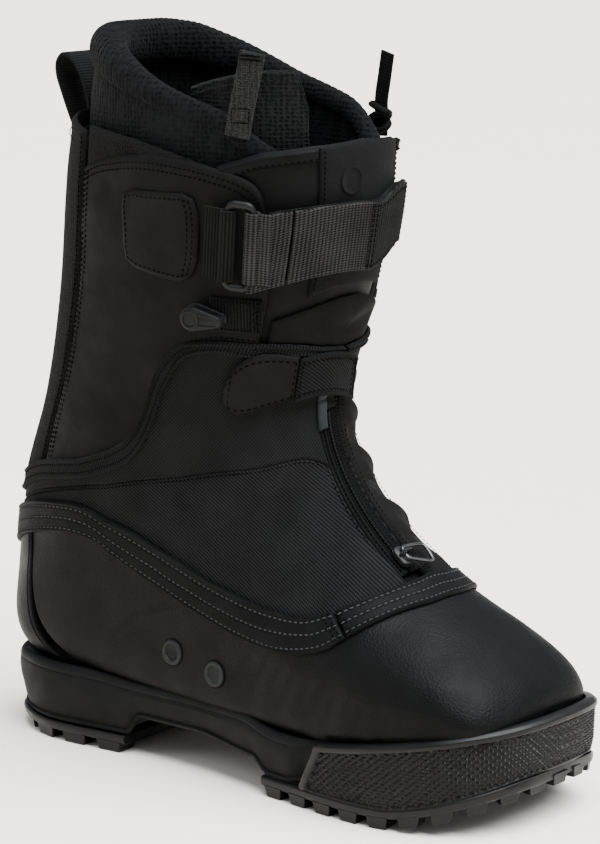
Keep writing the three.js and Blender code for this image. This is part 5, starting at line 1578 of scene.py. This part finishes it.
def make_liner_roll(top):
    """The stuffed rim: fat and rounded, ribbed across, and a little uneven."""
    nu, nv = 900, 30
    a = np.linspace(0, 360, nu, endpoint=False)[:, None]
    w = turn_angles(nv)[None, :]
    p = np.radians(a)
    puff = 1 + 0.06 * np.sin(3 * p + 0.6) + 0.06 * np.sin(7 * p + 2) + 0.04 * np.sin(13 * p)
    rib = 0.42 * np.abs(np.sin(p * 56)) ** 0.8 * (0.35 + 0.65 * np.clip(np.cos(w - 0.4), 0, 1))
    fat = smooth(180 - np.abs(a - 180), 84, 140)
    thick = (ROLL_THICK + 0.9 + 3.6 * fat) * puff * (np.abs(np.sin(w)) ** 0.85 * np.sign(np.sin(w)))
    high = (ROLL_HIGH + 4.5 * fat) * (1 - np.cos(w)) * (0.96 + 0.04 * puff)
    height = top(a) + 0.6 - high
    k = station_at(height, a + 0 * w)
    n = normal(k, a + 0 * w)
    base = point(k, a + 0 * w)
    offset = ROLL_CENTRE - 2.8 * fat + thick
    verts = base + n * offset[..., None]
    centre = verts.mean(1, keepdims=True)
    outward = verts - centre
    outward = unit(outward)
    verts = verts + outward * (rib - 0.25)[..., None]
    faces = []
    for i in range(nu):
        for j in range(nv):
            b, c = i * nv, ((i + 1) % nu) * nv
            faces.append([b + j, c + j, c + (j + 1) % nv, b + (j + 1) % nv])
    flat = np.stack(np.broadcast_arrays(a * 1.6, w * 4, 0.0), -1)
    obj = make("liner_roll", verts.reshape(-1, 3), faces, "liner_knit", flat=flat.reshape(-1, 3),
               slot="liner_fabric", replaces=("liner_collar",), sharp=80)


def make_liner_flap():
    top = lambda a: station_at(341 - 0.006 * (a - 48) ** 2 - 15 * np.clip((34 - a) / 8, 0, 1), a)
    where = between_angles(26, 84, up_to(250), top)

    def mesh(du, dv, from_top, k, a):
        bumps = 0.22 * np.sin(2 * np.pi * (du + dv) / 3.2) * np.sin(2 * np.pi * (du - dv) / 3.2)
        piping = 0.8 * bell(from_top - 1.2, 0.9) + 0.55 * bell(from_top - 4.6, 0.8)
        crown = 0.9 * smooth(from_top, 6, 22)
        return -16.4 + bumps * smooth(from_top, 5.5, 7) + piping + crown
    obj = panel("liner_flap_mesh", "liner_flap", "liner_mesh", where, 150, 110, mesh, -19.8, roll=1.6,
                width=2.4, lengths=(90, 95), push=uneven(0.4, 34, 80),
                slot="liner_fabric")


# ---- pull tabs ----

def web_strip(path, width, thick, across, count=60, rows=16, rib=1.3, depth=0.1):
    """A webbing strip along a path; across gives its width's direction."""
    line = spline(path, 16)
    d, length = by_length(line)
    t = np.linspace(0, 1, count)
    p = np.stack([np.interp(t, d, line[:, i]) for i in range(3)], 1)
    tangent = np.gradient(p, axis=0)
    tangent = unit(tangent)
    across = np.asarray(across, float)
    b = across - (tangent @ across)[:, None] * tangent
    b = unit(b)
    n = np.cross(tangent, b)
    y = np.linspace(-0.5, 0.5, rows) * width
    edge = width / 2 - np.abs(y)
    texture = depth * np.sin(2 * np.pi * t * length / rib)[:, None] * smooth(edge, 0.6, 1.2)[None, :]
    soft = -0.35 * (1 - np.clip(edge / 0.7, 0, 1))[None, :] ** 2
    grid = lambda level, sign: p[:, None] + b[:, None] * y[None, :, None] + n[:,
                                                                              None] * (level
                                                                                       + sign
                                                                                       * (texture
                                                                                          + soft))[..., None]
    flat = np.stack(np.broadcast_arrays((t * length)[:, None], y[None, :], 0.0), -1)
    return thick_grid(grid(thick / 2, 1), grid(-thick / 2, -1), flat)


def make_pulls():
    # A closed loop of flat webbing behind the collar.
    foot = at(station_at(306, 180), 180, 2.2)
    loop = np.array([(0, 0), (-1, 14), (-9, 30), (-17, 34), (-21, 28), (-15, 10), (-7, -6), (-2, -12)],
                    float)
    line = spline(loop, 14, True)
    path = np.stack([foot[0] + line[:, 0], np.full(len(line), foot[1]), foot[2] + line[:, 1]], 1)
    solid("rear_loop_webbing", "rear_pull_loop", "rib_webbing",
          web_strip(path[::6], 20, 2.0, (0, 1, 0), 150, 22), cloth=True, body="rear_pull_loop",
          slot="webbing")

    axes, origin = local_frame(station_at(311, 56), 56, -5)
    path = [origin + axes @ np.array(p) for p in ((-3.6, 0.2, 0), (-2.2, 10, 0.3), (-0.2, 22, 0.2),
                                                  (1.4, 32, -0.2), (2.6, 39.4, 0))]
    body = web_strip(path, 12, 1.7, axes[:, 0], 90, 20, 1.6, 0.16)
    box = [np.array([s * 4.2 - 2.2, y, 1.0]) for s, y in ((-1, 7), (1, 7), (1, 13.5), (-1, 13.5), (-1, 7))]
    verts, faces, flat = body
    make("front_tab_webbing", verts, faces, "pull_web", flat=flat, body="front_pull_tab",
         slot="pull_webbing", replaces=("front_pull_tab",))
    threads = [tube(np.array([origin + axes @ (a + (b - a) * s) for s in np.linspace(0.02, 0.98, 8)]), 0.36,
                    None, 6) for a, b in zip(box, box[1:])]
    ends = [tube(np.array([origin + axes @ np.array([x, y, 1.0]) for x in np.linspace(-3.2, 6.8, 8)]), 0.4,
                 None, 6) for y in (36.0, 37.8)]
    solid("front_tab_stitches", "front_pull_tab", "thread", merge([*threads, *ends]), body="front_pull_tab",
          sharp=60)

    axes, origin = local_frame(station_at(303, -62), -62, 3)
    path = [origin + axes @ np.array(p) for p in ((-1.5, 0.2, 0), (-0.6, 8, 0.6), (0.6, 18, 0.8),
                                                  (-1.6, 29, 0.2), (-3.4, 41.2, 0))]
    strip_part = web_strip(path, 9.6, 1.6, axes[:, 0], 90, 16)
    wraps = []
    for i, (y, lean) in enumerate(((5.5, 2.8), (9.5, -2.4), (13.5, 1.6))):
        ring = np.array([(6 * math.cos(t), y + lean * math.sin(t + i), 2.0 * math.sin(t))
                         for t in turn_angles(28)])
        wraps.append(tube(ring @ axes.T + origin, 2.1, None, 10, closed=True, flatten=0.8))
    solid("side_tab_webbing", "side_pull_tab", "rib_webbing", merge([strip_part, *wraps]), cloth=True,
          body="side_pull_tab", slot="webbing", sharp=60)


# ---- scene ----

def make_floor():
    mesh = bpy.data.meshes.new("floor")
    size = 40
    mesh.from_pydata([(-size, -size, 0), (size, -size, 0), (size, size, 0), (-size, size, 0)], [],
                     [(0, 1, 2, 3)])
    shader = Shader("floor", roughness=0.85, specular=0.2)
    shader.color((0.91, 0.85, 0.76), (0.93, 0.87, 0.78), shader.noise(3, 3))
    mesh.materials.append(shader.material)
    floor = bpy.data.objects.new("floor", mesh)
    bpy.context.scene.collection.objects.link(floor)
    floor.location.z = -0.0002


def make_studio():
    make_floor()
    make_world((0.87, 0.92, 1.0), 0.6)
    make_light("sky", "SUN", 11.5, (1.0, 0.1, 2.4), (0, 0, 0), color=(0.98, 1.0, 1.03), angle=1.1)
    make_light("key", "AREA", 24, (0.9, -0.5, 1.9), (0, 0, 0.15), 1.3)
    make_light("left", "AREA", 14, (-1.5, -1.6, 1.2), (0, 0, 0.15), 1.4)


BUILDERS = (make_midsole, make_outsoles, make_bumper, make_lower, make_band, make_vents, make_quarters,
            make_back, make_zip, make_slider, make_garage, make_throat_panel, make_shroud, make_ankle,
            make_tongue, make_strap, make_ring, make_webbing_folds, make_anchors, make_hooks, make_linings,
            make_collar_facing, make_liner, make_pulls)

make_camera()
make_studio()
for build in BUILDERS:
    build()
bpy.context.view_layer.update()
